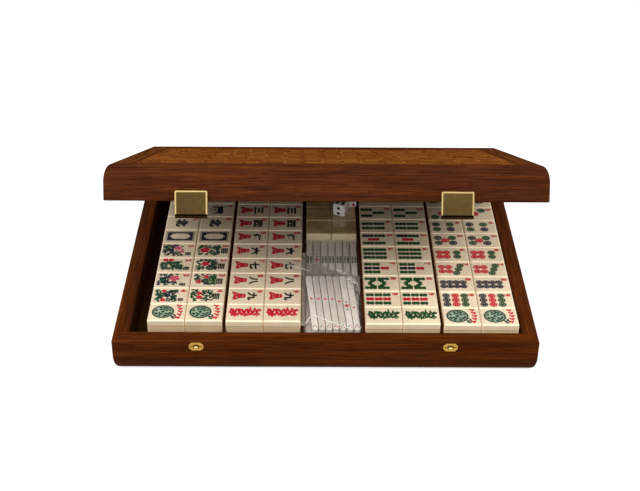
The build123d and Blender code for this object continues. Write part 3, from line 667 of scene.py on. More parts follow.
# ---------------------------------------------------------------- mesh making
class MeshMaker:
    """Gathers solids with a finish and a tone each, and makes one piece of them."""

    def __init__(self) -> None:
        """Starts with nothing gathered."""
        self.points: list[Vector] = []
        self.faces: list[tuple[int, ...]] = []
        self.slots: list[int] = []
        self.tones: list[float] = []
        self.finishes: list[Finish] = []

    def add(
        self,
        points: Iterable[Sequence[float]],
        faces: Iterable[Sequence[int]],
        finish: Finish,
        place: Matrix = UPRIGHT,
        tone: float = 0.5,
    ) -> None:
        """Adds faces.

        Args:
            points: corner points in millimetres.
            faces: indices into points.
            finish: the finish of these faces.
            place: turns and moves the points.
            tone: a shade of its own, from 0 to 1, that some finishes read.
        """
        if finish not in self.finishes:
            self.finishes.append(finish)
        first = len(self.points)
        self.points += [place @ Vector(p) for p in points]
        for face in faces:
            self.faces.append(tuple(first + i for i in face))
            self.slots.append(self.finishes.index(finish))
            self.tones.append(tone)

    def loft(
        self, levels: Sequence[Sequence[Point3]], finish: Finish, place: Matrix = UPRIGHT, tone: float = 0.5
    ) -> None:
        """Adds the solid that runs through outlines stacked from the lowest to the highest.

        Args:
            levels: counter-clockwise outlines with equally many points.
            finish: the solid's finish.
            place: turns and moves the solid.
            tone: its own shade.
        """
        count = len(levels[0])
        last = count * (len(levels) - 1)
        faces = [tuple(reversed(range(count)))]
        for base in range(0, last, count):
            for i in range(count):
                j = (i + 1) % count
                faces.append((base + i, base + j, base + count + j, base + count + i))
        faces.append(tuple(range(last, last + count)))
        self.add([point for level in levels for point in level], faces, finish, place, tone)

    def prism(
        self,
        outline: Outline,
        low: float,
        high: float,
        finish: Finish,
        place: Matrix = UPRIGHT,
        tone: float = 0.5,
    ) -> None:
        """Adds an upright prism.

        Args:
            outline: its counter-clockwise outline.
            low: height of its lower face.
            high: height of its upper face.
            finish: its finish.
            place: turns and moves it.
            tone: its own shade.
        """
        self.loft([[(x, y, z) for x, y in outline] for z in (low, high)], finish, place, tone)

    def ring(
        self, outer: Outline, inner: Outline, low: float, high: float, finish: Finish, place: Matrix
    ) -> None:
        """Adds the solid between two outlines with equally many points.

        Args:
            outer: the outer outline, counter-clockwise.
            inner: the inner outline, counter-clockwise.
            low: height of the lower face.
            high: height of the upper face.
            finish: the solid's finish.
            place: turns and moves it.
        """
        count = len(outer)
        points = [(x, y, z) for z in (low, high) for outline in (outer, inner) for x, y in outline]
        outer_low, inner_low, outer_high, inner_high = range(0, 4 * count, count)
        faces = []
        for i in range(count):
            j = (i + 1) % count
            for a, b, start, end in (
                (outer_low, outer_high, i, j),
                (inner_low, inner_high, j, i),
                (outer_high, inner_high, i, j),
                (outer_low, inner_low, j, i),
            ):
                faces.append((a + start, a + end, b + end, b + start))
        self.add(points, faces, finish, place)

    def piece(
        self,
        name: str,
        body: str,
        replaces: Sequence[str] = (),
        smooth_angle: float | None = None,
    ) -> None:
        """Makes the gathered faces one object that rides on a body.

        Args:
            name: the piece's name.
            body: the CAD body that it moves with.
            replaces: CAD nodes that it stands for.
            smooth_angle: shades smoothly across edges flatter than this, in degrees.
        """
        mesh = bpy.data.meshes.new(name)
        mesh.from_pydata([p * MM for p in self.points], [], self.faces)
        for finish in self.finishes:
            mesh.materials.append(finish.material())
        mesh.polygons.foreach_set("material_index", self.slots)
        tone = mesh.attributes.new("tone", "FLOAT", "FACE")
        tone.data.foreach_set("value", self.tones)
        if smooth_angle is not None:
            mesh.shade_smooth()
            mesh.set_sharp_from_angle(angle=math.radians(smooth_angle))
        mesh.update()
        made = bpy.data.objects.new(name, mesh)
        bpy.context.scene.collection.objects.link(made)
        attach(made, body)
        if replaces:
            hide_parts(*replaces)
        LOG.info("%s: %d faces on %s", name, len(mesh.polygons), body)


def polar(centre: Point2, reach: float, turn: float) -> Point2:
    """The point at a distance and an angle from a centre."""
    return (centre[0] + reach * math.cos(turn), centre[1] + reach * math.sin(turn))


def circle(radius: float, count: int, centre: Point2 = (0, 0)) -> list[Point2]:
    """Points of a circle, counter-clockwise."""
    return [polar(centre, radius, 2 * math.pi * i / count) for i in range(count)]


def rectangle(width: float, height: float, centre: Point2 = (0, 0)) -> list[Point2]:
    """Corners of a rectangle, counter-clockwise."""
    x, y = width / 2, height / 2
    return [(centre[0] + a, centre[1] + b) for a, b in ((-x, -y), (x, -y), (x, y), (-x, y))]


def turned(outline: Outline, turn: float, centre: Point2 = (0, 0)) -> list[Point2]:
    """Turns an outline about its origin and moves the origin to a centre."""
    c, s = math.cos(turn), math.sin(turn)
    return [(centre[0] + x * c - y * s, centre[1] + x * s + y * c) for x, y in outline]


def mirrored(quarter: Outline, centre: Point2, scale: Point2 = (1, 1)) -> list[Point2]:
    """A closed outline about a centre from its first quarter.

    Args:
        quarter: points from the +X side to the +Y side.
        centre: the middle of the outline.
        scale: shrinks the outline across and along.
    Returns:
        The outline, counter-clockwise.
    """
    half = list(quarter) + [(-x, y) for x, y in reversed(quarter)]
    full = half + [(-x, -y) for x, y in half]
    return [(centre[0] + x * scale[0], centre[1] + y * scale[1]) for x, y in full]


def smooth_track(points: Sequence[Vector], steps: int = 5) -> list[Vector]:
    """A smooth track through points.

    Args:
        points: the points.
        steps: how many short steps lie between two of them.
    Returns:
        The track's points.
    """
    if len(points) == 2:
        return list(points)
    padded = [2 * points[0] - points[1], *points, 2 * points[-1] - points[-2]]
    track = []
    for a, b, c, d in zip(padded, padded[1:], padded[2:], padded[3:]):
        slope, bend, twist = c - a, 2 * a - 5 * b + 4 * c - d, 3 * b - a - 3 * c + d
        for i in range(steps):
            t = i / steps
            track.append(0.5 * (2 * b + slope * t + bend * t * t + twist * t**3))
    track.append(points[-1])
    return track


def along_track(track: Sequence[Vector]) -> list[tuple[Vector, Vector, float]]:
    """Follows a track, as a brush stroke or a fold does.

    Args:
        track: the track's points.
    Returns:
        For each point, itself, the way to its left and how far on it lies, from 0 to 1.
    """
    steps = []
    for i, point in enumerate(track):
        ahead = track[min(i + 1, len(track) - 1)] - track[max(i - 1, 0)]
        left = Vector((-ahead.y, ahead.x, 0)[: len(point)]).normalized()
        steps.append((point, left, i / (len(track) - 1)))
    return steps


def dress(finish: Finish, *nodes: str) -> None:
    """Gives a finish to CAD nodes whose shape stays.

    Args:
        finish: the finish.
        nodes: the nodes' names.
    """
    for name in nodes:
        node = frame["nodes"][name]
        if not node.material_slots:
            node.data.materials.append(finish.material())
        for material_slot in node.material_slots:
            material_slot.material = finish.material()
        LOG.info("%s: %s", name, finish.name)


# ---------------------------------------------------------------- finishes in use
BASE_TONES = dict(dark="#240f03", middle="#4a2005", light="#6e340c", gloss=0.03)
FRONT_WOOD = StainedHardwood("stained_hardwood_front", **BASE_TONES)
SIDE_WOOD = StainedHardwood("stained_hardwood_side", grain=Grain.ALONG_Y, **BASE_TONES)
LID_TONES = dict(place=Frame.LID, dark="#2a120a", middle="#4a2513", light="#6c3819", gloss=0.0)
LID_FRONT_WOOD = StainedHardwood("stained_hardwood_lid_front", **LID_TONES)
# The lid's side walls take a lighter copy of its stain: painted light on them
LID_SIDE_LIT_TONES = dict(place=Frame.LID, dark="#321809", middle="#5c3218", light="#80481f", gloss=0.0)
LID_SIDE_WOOD = StainedHardwood("stained_hardwood_lid_side", grain=Grain.ALONG_Y, **LID_SIDE_LIT_TONES)
BOARD_TONES = dict(dark="#3a2010", middle="#5c3418", light="#7a4a26", gloss=0.05)
BASE_BOARD = StainedHardwood("plain_board_base", **BOARD_TONES)
LID_BOARD = StainedHardwood("plain_board_lid", place=Frame.LID, **BOARD_TONES)
DIVIDER_TONES = dict(dark="#241006", middle="#3c1c0c", light="#5a3016", gloss=0.05)
DIVIDER_BOARD = StainedHardwood("stained_divider_board", grain=Grain.ALONG_Y, **DIVIDER_TONES)
PARQUET_TONES = dict(dark="#45200a", middle="#743e16", light="#9c602a", contrast=0.2, gloss=0.0)
PARQUET_GRAIN = dict(place=Frame.LID, streak_length=14.0, streak_width=0.6)
PARQUET_ACROSS = ParquetVeneer("parquet_veneer_across", **PARQUET_TONES, **PARQUET_GRAIN)
PARQUET_ALONG = ParquetVeneer(
    "parquet_veneer_along", grain=Grain.ALONG_Y, **PARQUET_TONES, **PARQUET_GRAIN
)
FLOCK = FlockCloth("black_flock")
IVORY = TilePlastic("ivory_tile_plastic")
AMBER_BACK = TileBack("amber_tile_back")
DIE_PLASTIC = MouldedPlastic("die_plastic", colour="#ffffff", shade="#f4f2ee", roughness=0.22)
STICK_PLASTIC = MouldedPlastic("stick_plastic")
FILM = ClearFilm("clear_polypropylene_film")
MILKY_FILM = ClearFilm("milky_film", colour="#c6b6a4", veil=0.27, crease=0.52)
HAZY_FILM = ClearFilm("hazy_film", colour="#e6dfd4", veil=0.1, crease=0.34)
CRUMPLED_FILM = ClearFilm("crumpled_film", colour="#dacdbb", veil=0.4, crease=0.65)
# Near-white, nearly opaque film that paints a highlight along sharp folds
FOLD_HIGHLIGHT_FILM = ClearFilm("painted_fold_highlight", colour="#fffaf2", veil=0.6, crease=0.85)
LATCH_BRASS = EngravedLatch(
    "aged_latch_brass",
    aged="#b8945a",
    bright="#c4ac70",
    roughness=0.08,
    border=FLAP_FACE + FLAP_BORDER,
    lip=LID_RIM - FLAP_BELOW + FLAP_LIP,
)
CATCH_BRASS = {
    side: PressedCatch(
        f"{side}_catch_brass",
        place=Frame.BASE,
        bright="#ae883e",
        roughness=0.34,
        centre=tuple((low_corner(f"catch_{side}_plate") + high_corner(f"catch_{side}_plate")) / 2),
    )
    for side in ("left", "right")
}
BRAD_BRASS = PolishedBrass(
    "dark_brad_brass", place=Frame.BASE, bright="#6e4c1c", aged="#36240c", roughness=0.3
)
SATIN_BRASS = PolishedBrass("satin_brass", bright="#f0d090", aged="#b98e3e", roughness=0.3)


class Paint(Enum):
    """Enamel colours that are wiped into the engraved marks."""

    RED = EngravingPaint("red_enamel", "#c01428", "#cc2a3c")
    ROSE = EngravingPaint("rose_enamel", "#d24a66", "#dc7084")
    GREEN = EngravingPaint("green_enamel", "#17401e", "#2c5a30")
    TEAL = EngravingPaint("teal_enamel", "#163c30", "#285646")
    MINT = EngravingPaint("mint_enamel", "#9cae92", "#b4c0a6")
    NAVY = EngravingPaint("navy_enamel", "#1a1a2a", "#34344a")
    BLACK = EngravingPaint("black_enamel", "#0c0c0e", "#26262a")


RED, ROSE, GREEN, TEAL, MINT, NAVY, BLACK = Paint


# ---------------------------------------------------------------- traditional marks
@dataclass(frozen=True)
class GlyphShape:
    """A character's solid, one unit wide and high about its middle, from -1 to 1 in depth."""

    points: tuple[Point3, ...]
    faces: tuple[tuple[int, ...], ...]


@cache
def glyph_shape(character: str, weight: float) -> GlyphShape:
    """Outline of a character as a solid, kept for the next call.

    Args:
        character: the character.
        weight: how much bolder than the font's own strokes it is.
    Returns:
        The shape.
    """
    curve = bpy.data.curves.new("glyph", "FONT")
    curve.body = character
    curve.size = 1
    curve.extrude = 0.5
    curve.offset = weight
    curve.resolution_u = 3
    written = bpy.data.objects.new("glyph", curve)
    mesh = bpy.data.meshes.new_from_object(written)
    low = Vector(min(v.co[i] for v in mesh.vertices) for i in range(3))
    high = Vector(max(v.co[i] for v in mesh.vertices) for i in range(3))
    middle, span = (low + high) / 2, high - low
    scale = (span.x, span.y, span.z / 2)
    points = tuple(tuple((v.co[i] - middle[i]) / scale[i] for i in range(3)) for v in mesh.vertices)
    faces = tuple(tuple(polygon.vertices) for polygon in mesh.polygons)
    bpy.data.objects.remove(written)
    bpy.data.meshes.remove(mesh)
    bpy.data.curves.remove(curve)
    return GlyphShape(points, faces)


MARK_DEPTH = 0.25
MARK_STEP = 0.0005
TILE_LENGTH = 35.5
TILE_WIDTH = 27.4
TILE_GAP = 0.1
TILE_PITCH = TILE_WIDTH + TILE_GAP
ROWS = 10


@dataclass
class TileFace:
    """The engraved face of one tile. Places are given along the tile, from the foot of its
    marks to their head, and across it, from the front of the case to the rear, from 0 to 1.
    Each mark stands a hair over the one before, so that a later one covers an earlier one."""

    maker: MeshMaker
    x: float
    y: float
    rise: float = 0.05

    @property
    def place(self) -> Matrix:
        """Turns the face's own right and up to the case's front and right."""
        return Matrix(((0, 1, 0, self.x), (-1, 0, 0, self.y), (0, 0, 1, TILE_TOP), (0, 0, 0, 1)))

    def at(self, along: float, across: float) -> Point2:
        """Millimetres from the middle of the face, to its own right and up."""
        return ((0.5 - across) * TILE_WIDTH, (along - 0.5) * TILE_LENGTH)

    def next_rise(self) -> float:
        """Height of the next mark's top over the face."""
        self.rise += MARK_STEP
        return self.rise

    def shape(self, outline: Outline, paint: Paint) -> None:
        """Fills an outline given in the face's own millimetres."""
        self.maker.prism(outline, -MARK_DEPTH, self.next_rise(), paint.value, self.place)

    def band(self, outer: Outline, inner: Outline, paint: Paint) -> None:
        """Fills what lies between two outlines."""
        self.maker.ring(outer, inner, -MARK_DEPTH, self.next_rise(), paint.value, self.place)

    def disc(self, along: float, across: float, radius: float, paint: Paint) -> None:
        """Fills a dot."""
        self.shape(circle(radius, 12, self.at(along, across)), paint)

    def wheel(self, along: float, across: float, radius: float, paint: Paint) -> None:
        """Draws the circle suit's mark: a heavy rim, six petals and a hub.

        Args:
            along: its middle along the tile.
            across: its middle across the tile.
            radius: its radius in millimetres, which all its parts are shares of.
            paint: its colour.
        """
        centre = self.at(along, across)
        self.band(circle(radius, 24, centre), circle(radius * 0.62, 24, centre), paint)
        for i in range(6):
            turn = math.pi * (i + 0.5) / 3
            self.petal(polar(centre, radius * 0.4, turn), radius * 0.48, radius * 0.4, turn, paint)
        self.shape(circle(radius * 0.24, 10, centre), paint)

    def petal(self, middle: Point2, length: float, width: float, turn: float, paint: Paint) -> None:
        """Fills a pointed oval.

        Args:
            middle: its middle in the face's own millimetres.
            length: its length from point to point.
            width: its greatest width.
            turn: the direction of its length in radians.
            paint: its colour.
        """
        outline = [(length / 2 * x, width / 2 * y * abs(y) ** 0.3) for x, y in circle(1, 12)]
        self.shape(turned(outline, turn, middle), paint)

    def cane(
        self,
        along: float,
        across: float,
        paint: Paint,
        length: float,
        width: float = 5.5,
        turn: float = 0.0,
    ) -> None:
        """Draws the bamboo suit's mark: a stout cane of short joints with knots between them.

        Args:
            along: its middle along the tile.
            across: its middle across the tile.
            paint: its colour.
            length: its length in millimetres.
            width: its width in millimetres.
            turn: how far it leans, in radians.
        """
        joints = max(round(length / 3.7), 2)
        steps = 8 * joints
        side = []
        for i in range(steps + 1):
            t = i / steps
            bulge = abs(math.sin(math.pi * joints * t)) ** 0.6
            side.append((width / 2 * (0.64 + 0.36 * bulge), (t - 0.5) * length))
        outline = side + [(-x, y) for x, y in reversed(side)]
        self.shape(turned(outline, turn, self.at(along, across)), paint)

    def character(
        self,
        written: str,
        along: float,
        across: float,
        width: float,
        height: float,
        paint: Paint,
        weight: float,
        narrowing: float = 0.0,
    ) -> None:
        """Draws a character in a box of the given size about a place.

        Args:
            written: the character.
            along: its middle along the tile.
            across: its middle across the tile.
            width: its width in millimetres.
            height: its height in millimetres.
            paint: its colour.
            weight: how much bolder than the font's own strokes it is.
            narrowing: how much narrower its head is than its foot.
        """
        top = self.next_rise()
        glyph = glyph_shape(written, weight)
        x, y = self.at(along, across)
        points = []
        for px, py, pz in glyph.points:
            # 0 in its foot and 1 in its head, with a short waist between them
            head = min(max((py + 0.28) / 0.36, 0), 1)
            points.append(
                (x + px * width * (1 - narrowing * head), y + py * height, top if pz > 0 else -MARK_DEPTH)
            )
        self.maker.add(points, glyph.faces, paint.value, self.place)

    def index(self, written: str) -> None:
        """Draws the small red number or letter in the corner."""
        width = 2.4 if written == "1" else 4.6
        self.character(written, 0.855, 0.82, width, 6.0, RED, 0.05)

    def stroke(self, points: Outline, width: float, paint: Paint, taper: float = 0.5) -> None:
        """Draws a curved brush stroke.

        Args:
            points: places along and across the tile that it runs through.
            width: its greatest width in millimetres.
            paint: its colour.
            taper: how much narrower its ends are, as a share of its width.
        """
        track = smooth_track([Vector(self.at(*p)) for p in points])
        left, right = [], []
        for point, side, t in along_track(track):
            half = width / 2 * (1 - taper * abs(2 * t - 1) ** 2)
            left.append(point + side * half)
            right.append(point - side * half)
        count = len(track)
        top = self.next_rise()
        solid = [(p.x, p.y, z) for z in (-MARK_DEPTH, top) for p in right + left]
        faces = []
        for i in range(count - 1):
            a, b, c, d = i, i + 1, count + i + 1, count + i
            faces.append((d, c, b, a))
            faces.append(tuple(2 * count + k for k in (a, b, c, d)))
            faces.append((a, b, 2 * count + b, 2 * count + a))
            faces.append((c, d, 2 * count + d, 2 * count + c))
        faces.append((count, 0, 2 * count, 3 * count))
        faces.append((count - 1, 2 * count - 1, 4 * count - 1, 3 * count - 1))
        self.maker.add(solid, faces, paint.value, self.place)

    def blossom(self, along: float, across: float, radius: float, paint: Paint) -> None:
        """Draws a flower with five petals, seen from above.

        Args:
            along: its middle along the tile.
            across: its middle across the tile.
            radius: its radius in millimetres.
            paint: its colour.
        """
        centre = self.at(along, across)
        for i in range(5):
            turn = 2 * math.pi * i / 5 + along * 7
            self.petal(polar(centre, radius * 0.55, turn), radius, radius * 0.85, turn, paint)


# Place along and across the tile, and paint, of each mark in the circle suit
CIRCLES: dict[int, tuple[tuple[float, float, Paint], ...]] = {
    1: ((0.43, 0.5, NAVY),),
    2: ((0.22, 0.5, GREEN), (0.64, 0.5, NAVY)),
    3: ((0.21, 0.25, GREEN), (0.43, 0.5, RED), (0.64, 0.75, GREEN)),
    4: ((0.2, 0.68, NAVY), (0.61, 0.68, GREEN), (0.21, 0.32, GREEN), (0.62, 0.32, NAVY)),
    5: (
        *((0.19, 0.68, NAVY), (0.61, 0.68, GREEN), (0.4, 0.5, RED)),
        *((0.2, 0.32, GREEN), (0.62, 0.32, NAVY)),
    ),
    6: tuple((a, b, paint) for a, paint in ((0.17, RED), (0.37, RED), (0.67, GREEN)) for b in (0.64, 0.35)),
    7: (
        *((a, b, RED) for a in (0.17, 0.37) for b in (0.64, 0.35)),
        *((a, b, GREEN) for a, b in ((0.57, 0.24), (0.64, 0.49), (0.7, 0.74))),
    ),
    8: tuple((a, b, NAVY) for a in (0.15, 0.335, 0.52, 0.705) for b in (0.63, 0.37)),
    9: tuple(
        (a, b, paint)
        for a, paint in ((0.17, NAVY), (0.42, RED), (0.67, GREEN))
        for b in (0.77, 0.5, 0.23)
    ),
}
CIRCLE_RADII = {1: 7.4, 2: 5.2, 3: 4.4, 4: 4.3, 5: 4.3, 6: 4.0, 7: 3.8, 8: 3.6, 9: 3.8}

# The same for the bamboo suit, with each cane's length
CANES: dict[int, tuple[tuple[float, float, Paint, float], ...]] = {
    2: ((0.22, 0.5, GREEN, 11.4), (0.6, 0.5, NAVY, 11.4)),
    3: tuple((a, b, GREEN, 12.4) for a, b in ((0.22, 0.74), (0.22, 0.27), (0.58, 0.5))),
    4: tuple((a, b, GREEN, 12.0) for b in (0.66, 0.34) for a in (0.22, 0.57)),
    5: (
        *((0.22, 0.77, NAVY, 11.8), (0.56, 0.77, GREEN, 11.8)),
        *((a, 0.24, GREEN, 11.8) for a in (0.22, 0.56)),
        (0.38, 0.51, RED, 11.8),
    ),
    6: tuple((a, b, GREEN, 11.8) for a in (0.22, 0.56) for b in (0.77, 0.5, 0.23)),
    7: (
        *(
            (a, b, paint, 7.8)
            for a in (0.165, 0.395)
            for b, paint in ((0.76, GREEN), (0.5, NAVY), (0.24, GREEN))
        ),
        (0.64, 0.5, RED, 8.2),
    ),
    9: tuple(
        (a, b, paint, 7.6)
        for a in (0.165, 0.4, 0.63)
        for b, paint in ((0.76, GREEN), (0.5, RED), (0.25, GREEN))
    ),
}

NUMERALS = "一二三四伍六七八九"
WINDS = "北西南東"
WIND_LETTERS = "NWSE"


def draw_circles(face: TileFace, number: int) -> None:
    """Draws a tile of the circle suit.

    Args:
        face: the tile's face.
        number: its number in the suit.
    """
    for along, across, paint in CIRCLES[number]:
        face.wheel(along, across, CIRCLE_RADII[number], paint)
    face.index(str(number))


def draw_bamboo(face: TileFace, number: int) -> None:
    """Draws a tile of the bamboo suit.

    Args:
        face: the tile's face.
        number: its number in the suit.
    """
    if number == 1:
        draw_bird(face)
    elif number == 8:
        for middle, way in ((0.21, 1), (0.57, -1)):
            for across in (0.79, 0.21):
                face.cane(middle, across, GREEN, 11.6, 4.9)
            for side in (1, -1):
                along, across = middle + way * 0.045, 0.5 + side * 0.13
                face.cane(along, across, GREEN, 9.6, 4.7, turn=way * side * 0.8)
    else:
        for along, across, paint, length in CANES[number]:
            face.cane(along, across, paint, length)
    face.index(str(number))


def draw_bird(face: TileFace) -> None:
    """Draws the first tile of the bamboo suit: a plain bird on a branch.

    Args:
        face: the tile's face.
    """
    face.stroke([(0.12, 0.2), (0.2, 0.5), (0.14, 0.82)], 1.6, GREEN)
    face.petal(face.at(0.4, 0.5), 14, 8.0, 1.9, GREEN)
    face.disc(0.62, 0.42, 2.6, RED)
    face.stroke([(0.66, 0.36), (0.64, 0.26)], 1.1, RED)
    for spread in (0.5, 0.62, 0.74):
        face.stroke([(0.32, 0.55), (0.22, spread + 0.04), (0.16, spread + 0.12)], 1.5, NAVY)


def draw_number(face: TileFace, number: int) -> None:
    """Draws a tile of the character suit: the number over the sign for ten thousand.

    Args:
        face: the tile's face.
        number: its number in the suit.
    """
    face.character("萬", 0.3, 0.54, 16.6, 13.6, RED, 0.04, 0.58)
    for along, across, radius in (
        *((0.17, 0.38, 1.7), (0.17, 0.7, 1.7), (0.25, 0.54, 1.4)),
        *((0.36, 0.54, 1.6), (0.44, 0.54, 1.3)),
    ):
        face.disc(along, across, radius, RED)
    height = 3.2 if number == 1 else 9.6
    face.character(NUMERALS[number - 1], 0.66, 0.52, 14.0, height, BLACK, 0.06)
    face.index(str(number))


def draw_wind(face: TileFace, order: int) -> None:
    """Draws a wind tile."""
    face.character(WINDS[order], 0.47, 0.52, 16.0, 12.5, NAVY, 0.07)
    face.index(WIND_LETTERS[order])


def draw_white_dragon(face: TileFace) -> None:
    """Draws the white dragon: a framed plaque round an empty panel with pointed ends.

    Args:
        face: the tile's face.
    """
    centre = face.at(0.49, 0.53)
    x, y = 9.3, 14.6
    border = [(x, 0.01), (x, y * 0.5), (x, y), (0.01, y)]
    face.band(mirrored(border, centre), mirrored(border, centre, (0.93, 0.955)), NAVY)
    plaque = [(x, 0.01), (x, 0.3 * y), (x, 0.62 * y), (x, y), (0.55 * x, y), (0.01, y)]
    panel = [(5.4, 0.01), (5.4, 5.6), (4.2, 6.4), (5.0, 8.3), (2.6, 8.6), (0.01, 11.4)]
    face.band(mirrored(plaque, centre, (0.86, 0.91)), mirrored(panel, centre), NAVY)


def draw_ornament(face: TileFace, paint: Paint) -> None:
    """Draws a red or green dragon as a wound, spiky body with tufts on both sides.

    Args:
        face: the tile's face.
        paint: the dragon's colour.
    """
    shuffle = random.Random(17)
    discs = 36
    for phase, swing in ((0.6, 0.17), (3.3, 0.15)):
        for i in range(discs):
            t = i / (discs - 1)
            along = 0.13 + 0.75 * t
            across = 0.53 + swing * math.sin(20.0 * t + phase)
            face.disc(along, across, 1.4 - 0.3 * t, paint)
            if i % 3:
                continue
            for side in (-1, 1):
                turn = shuffle.uniform(-1.1, 1.1) + (0 if side > 0 else math.pi)
                length = shuffle.uniform(3.0, 4.8)
                middle = polar(face.at(along, across), length / 2, turn)
                face.petal(middle, length, shuffle.uniform(1.3, 2.1), turn, paint)
    for along, across in ((0.17, 0.36), (0.16, 0.7), (0.86, 0.4), (0.88, 0.62)):
        face.petal(face.at(along, across), 4.4, 2.2, shuffle.uniform(0, math.pi), paint)


def draw_joker(face: TileFace) -> None:
    """Draws a joker: a roundel of scrolls, a ribbon and five red flourishes.

    Args:
        face: the tile's face.
    """
    middle_a, middle_b = 0.39, 0.52
    centre = face.at(middle_a, middle_b)
    face.shape(circle(8.6, 36, centre), MINT)
    face.band(circle(10.6, 40, centre), circle(8.8, 40, centre), TEAL)
    face.band(circle(8.4, 36, centre), circle(7.9, 36, centre), TEAL)
    shuffle = random.Random(5)
    for ring, count in ((6.1, 14), (3.3, 8)):
        for i in range(count):
            turn = 2 * math.pi * (i + shuffle.random() * 0.4) / count
            curl = shuffle.choice((-1, 1))
            scroll = []
            for reach, swing in ((0, 0), (1.4, 0.5), (1.8, 1.5), (0.7, 2.1)):
                x, y = polar(polar((0, 0), ring, turn), reach, turn + curl * swing)
                scroll.append((middle_a + y / TILE_LENGTH, middle_b - x / TILE_WIDTH))
            face.stroke(scroll, 1.75, TEAL, 0.3)
    face.disc(middle_a, middle_b, 1.9, TEAL)
    face.stroke([(0.6, 0.3), (0.68, 0.22), (0.73, 0.3), (0.66, 0.38)], 2.0, TEAL)
    face.stroke([(0.62, 0.24), (0.69, 0.12), (0.75, 0.18)], 1.8, TEAL)
    for i in range(5):
        across = 0.9 - i * 0.175
        along = 0.8 + 0.05 * math.sin(math.pi * i / 4)
        sweep = [(along - 0.07, across + 0.05), (along, across - 0.02), (along + 0.07, across + 0.03)]
        face.stroke(sweep, 2.3, RED)
        face.disc(along + 0.02, across - 0.06, 1.1, RED)


@dataclass(frozen=True)
class Sprig:
    """One flower or season tile: seeded leaves about stems, with blossoms over them.

    Leaves fill the field from low to high along and across the tile, except under a blossom,
    which is given by its place and radius. The plaque has its place, length and width.
    """

    number: int
    seed: int
    blossoms: tuple[tuple[float, float, float, Paint], ...]
    leaves: tuple[float, float, float, float]
    leaf_paints: tuple[Paint, ...]
    plaque: tuple[float, float, float, float]
    leaf_count: int = 120
    plaque_rows: int = 4

    def leaf_stays(self, along: float, across: float) -> bool:
        """Whether a leaf is clear of every blossom.

        Args:
            along: its middle along the tile.
            across: its middle across the tile.
        Returns:
            True where it is clear.
        """
        return all(
            math.hypot((along - a) * TILE_LENGTH, (across - b) * TILE_WIDTH) >= radius * 1.2
            for a, b, radius, _ in self.blossoms
        )

    def draw(self, face: TileFace) -> None:
        """Draws the motif, its plaque and its number.

        Args:
            face: the tile's face.
        """
        shuffle = random.Random(self.seed)
        low_a, high_a, low_b, high_b = self.leaves
        stem = []
        for i in range(5):
            t = i / 4
            bend = 0.5 + 0.3 * math.sin(5 * t + self.seed)
            stem.append((low_a + (high_a - low_a) * t, low_b + (high_b - low_b) * bend))
        face.stroke(stem, 1.8, self.leaf_paints[0], 0.3)
        for i in range(self.leaf_count):
            along = shuffle.uniform(low_a, high_a)
            across = shuffle.uniform(low_b, high_b)
            if self.leaf_stays(along, across):
                third = int(3 * (along - low_a) / (high_a - low_a)) + i % 2
                paint = self.leaf_paints[third % len(self.leaf_paints)]
                length, width = shuffle.uniform(2.6, 4.8), shuffle.uniform(1.4, 2.4)
                face.petal(face.at(along, across), length, width, shuffle.uniform(0, math.pi), paint)
        for blossom in self.blossoms:
            face.blossom(*blossom)
        along, across, length, width = self.plaque
        x, y = face.at(along, across)
        pitch = length / self.plaque_rows
        for i in range(self.plaque_rows):
            middle = (x, y + (i - (self.plaque_rows - 1) / 2) * pitch)
            face.shape(rectangle(width, pitch * 0.78, middle), BLACK)
        face.shape(rectangle(0.9, length, (x - width / 4, y)), BLACK)
        face.index(str(self.number))


FLOWERS = (
    Sprig(4, 11, ((0.32, 0.8, 2.6, RED), (0.32, 0.24, 3.0, RED)),
          (0.1, 0.68, 0.16, 0.86), (GREEN, TEAL, NAVY), (0.8, 0.26, 5.0, 5.0)),
    Sprig(3, 12, ((0.54, 0.62, 5.4, ROSE),),
          (0.1, 0.62, 0.2, 0.88), (TEAL, NAVY, TEAL), (0.78, 0.22, 6.0, 4.6)),
    Sprig(2, 13, ((0.2, 0.84, 3.0, RED), (0.36, 0.84, 3.0, RED)),
          (0.08, 0.7, 0.2, 0.74), (TEAL, TEAL, GREEN), (0.82, 0.28, 6.0, 6.0)),
    Sprig(1, 14, ((0.5, 0.66, 3.8, ROSE), (0.62, 0.42, 2.4, ROSE)),
          (0.08, 0.66, 0.16, 0.9), (GREEN, NAVY, NAVY), (0.8, 0.28, 6.0, 6.0)),
)
SEASONS = (
    Sprig(4, 21, ((0.3, 0.66, 3.0, RED), (0.3, 0.42, 3.2, RED)),
          (0.08, 0.66, 0.18, 0.88), (GREEN, GREEN, TEAL), (0.76, 0.48, 6.6, 10.0)),
    Sprig(3, 22, ((0.42, 0.74, 3.0, RED), (0.22, 0.4, 3.2, RED)),
          (0.1, 0.7, 0.24, 0.88), (GREEN, NAVY, GREEN), (0.8, 0.44, 6.6, 10.0)),
    Sprig(2, 23, ((0.34, 0.6, 4.2, RED),),
          (0.1, 0.66, 0.18, 0.88), (GREEN, TEAL, NAVY), (0.8, 0.44, 7.0, 10.0)),
    Sprig(1, 24, ((0.28, 0.54, 5.0, RED),),
          (0.08, 0.7, 0.2, 0.86), (GREEN, GREEN, TEAL), (0.84, 0.5, 7.0, 10.0)),
)


# ---------------------------------------------------------------- sub-assemblies
@dataclass
class CaseBase:
    """Lower shell of the case: walls, floor, linings, dividers and catches."""

    def dress(self) -> None:
        """Gives the base's CAD nodes their finishes."""
        dress(FRONT_WOOD, "base_front_wall", "base_back_wall")
        dress(SIDE_WOOD, "base_left_wall", "base_right_wall")
        dress(BASE_BOARD, "base_floor")
        dress(FLOCK, "base_floor_lining", "base_wall_lining")
        for side in ("left", "right"):
            dress(DIVIDER_BOARD, f"divider_far_{side}", f"divider_near_{side}")
            dress(CATCH_BRASS[side], f"catch_{side}_plate")
        dress(BRAD_BRASS, "catch_brads")


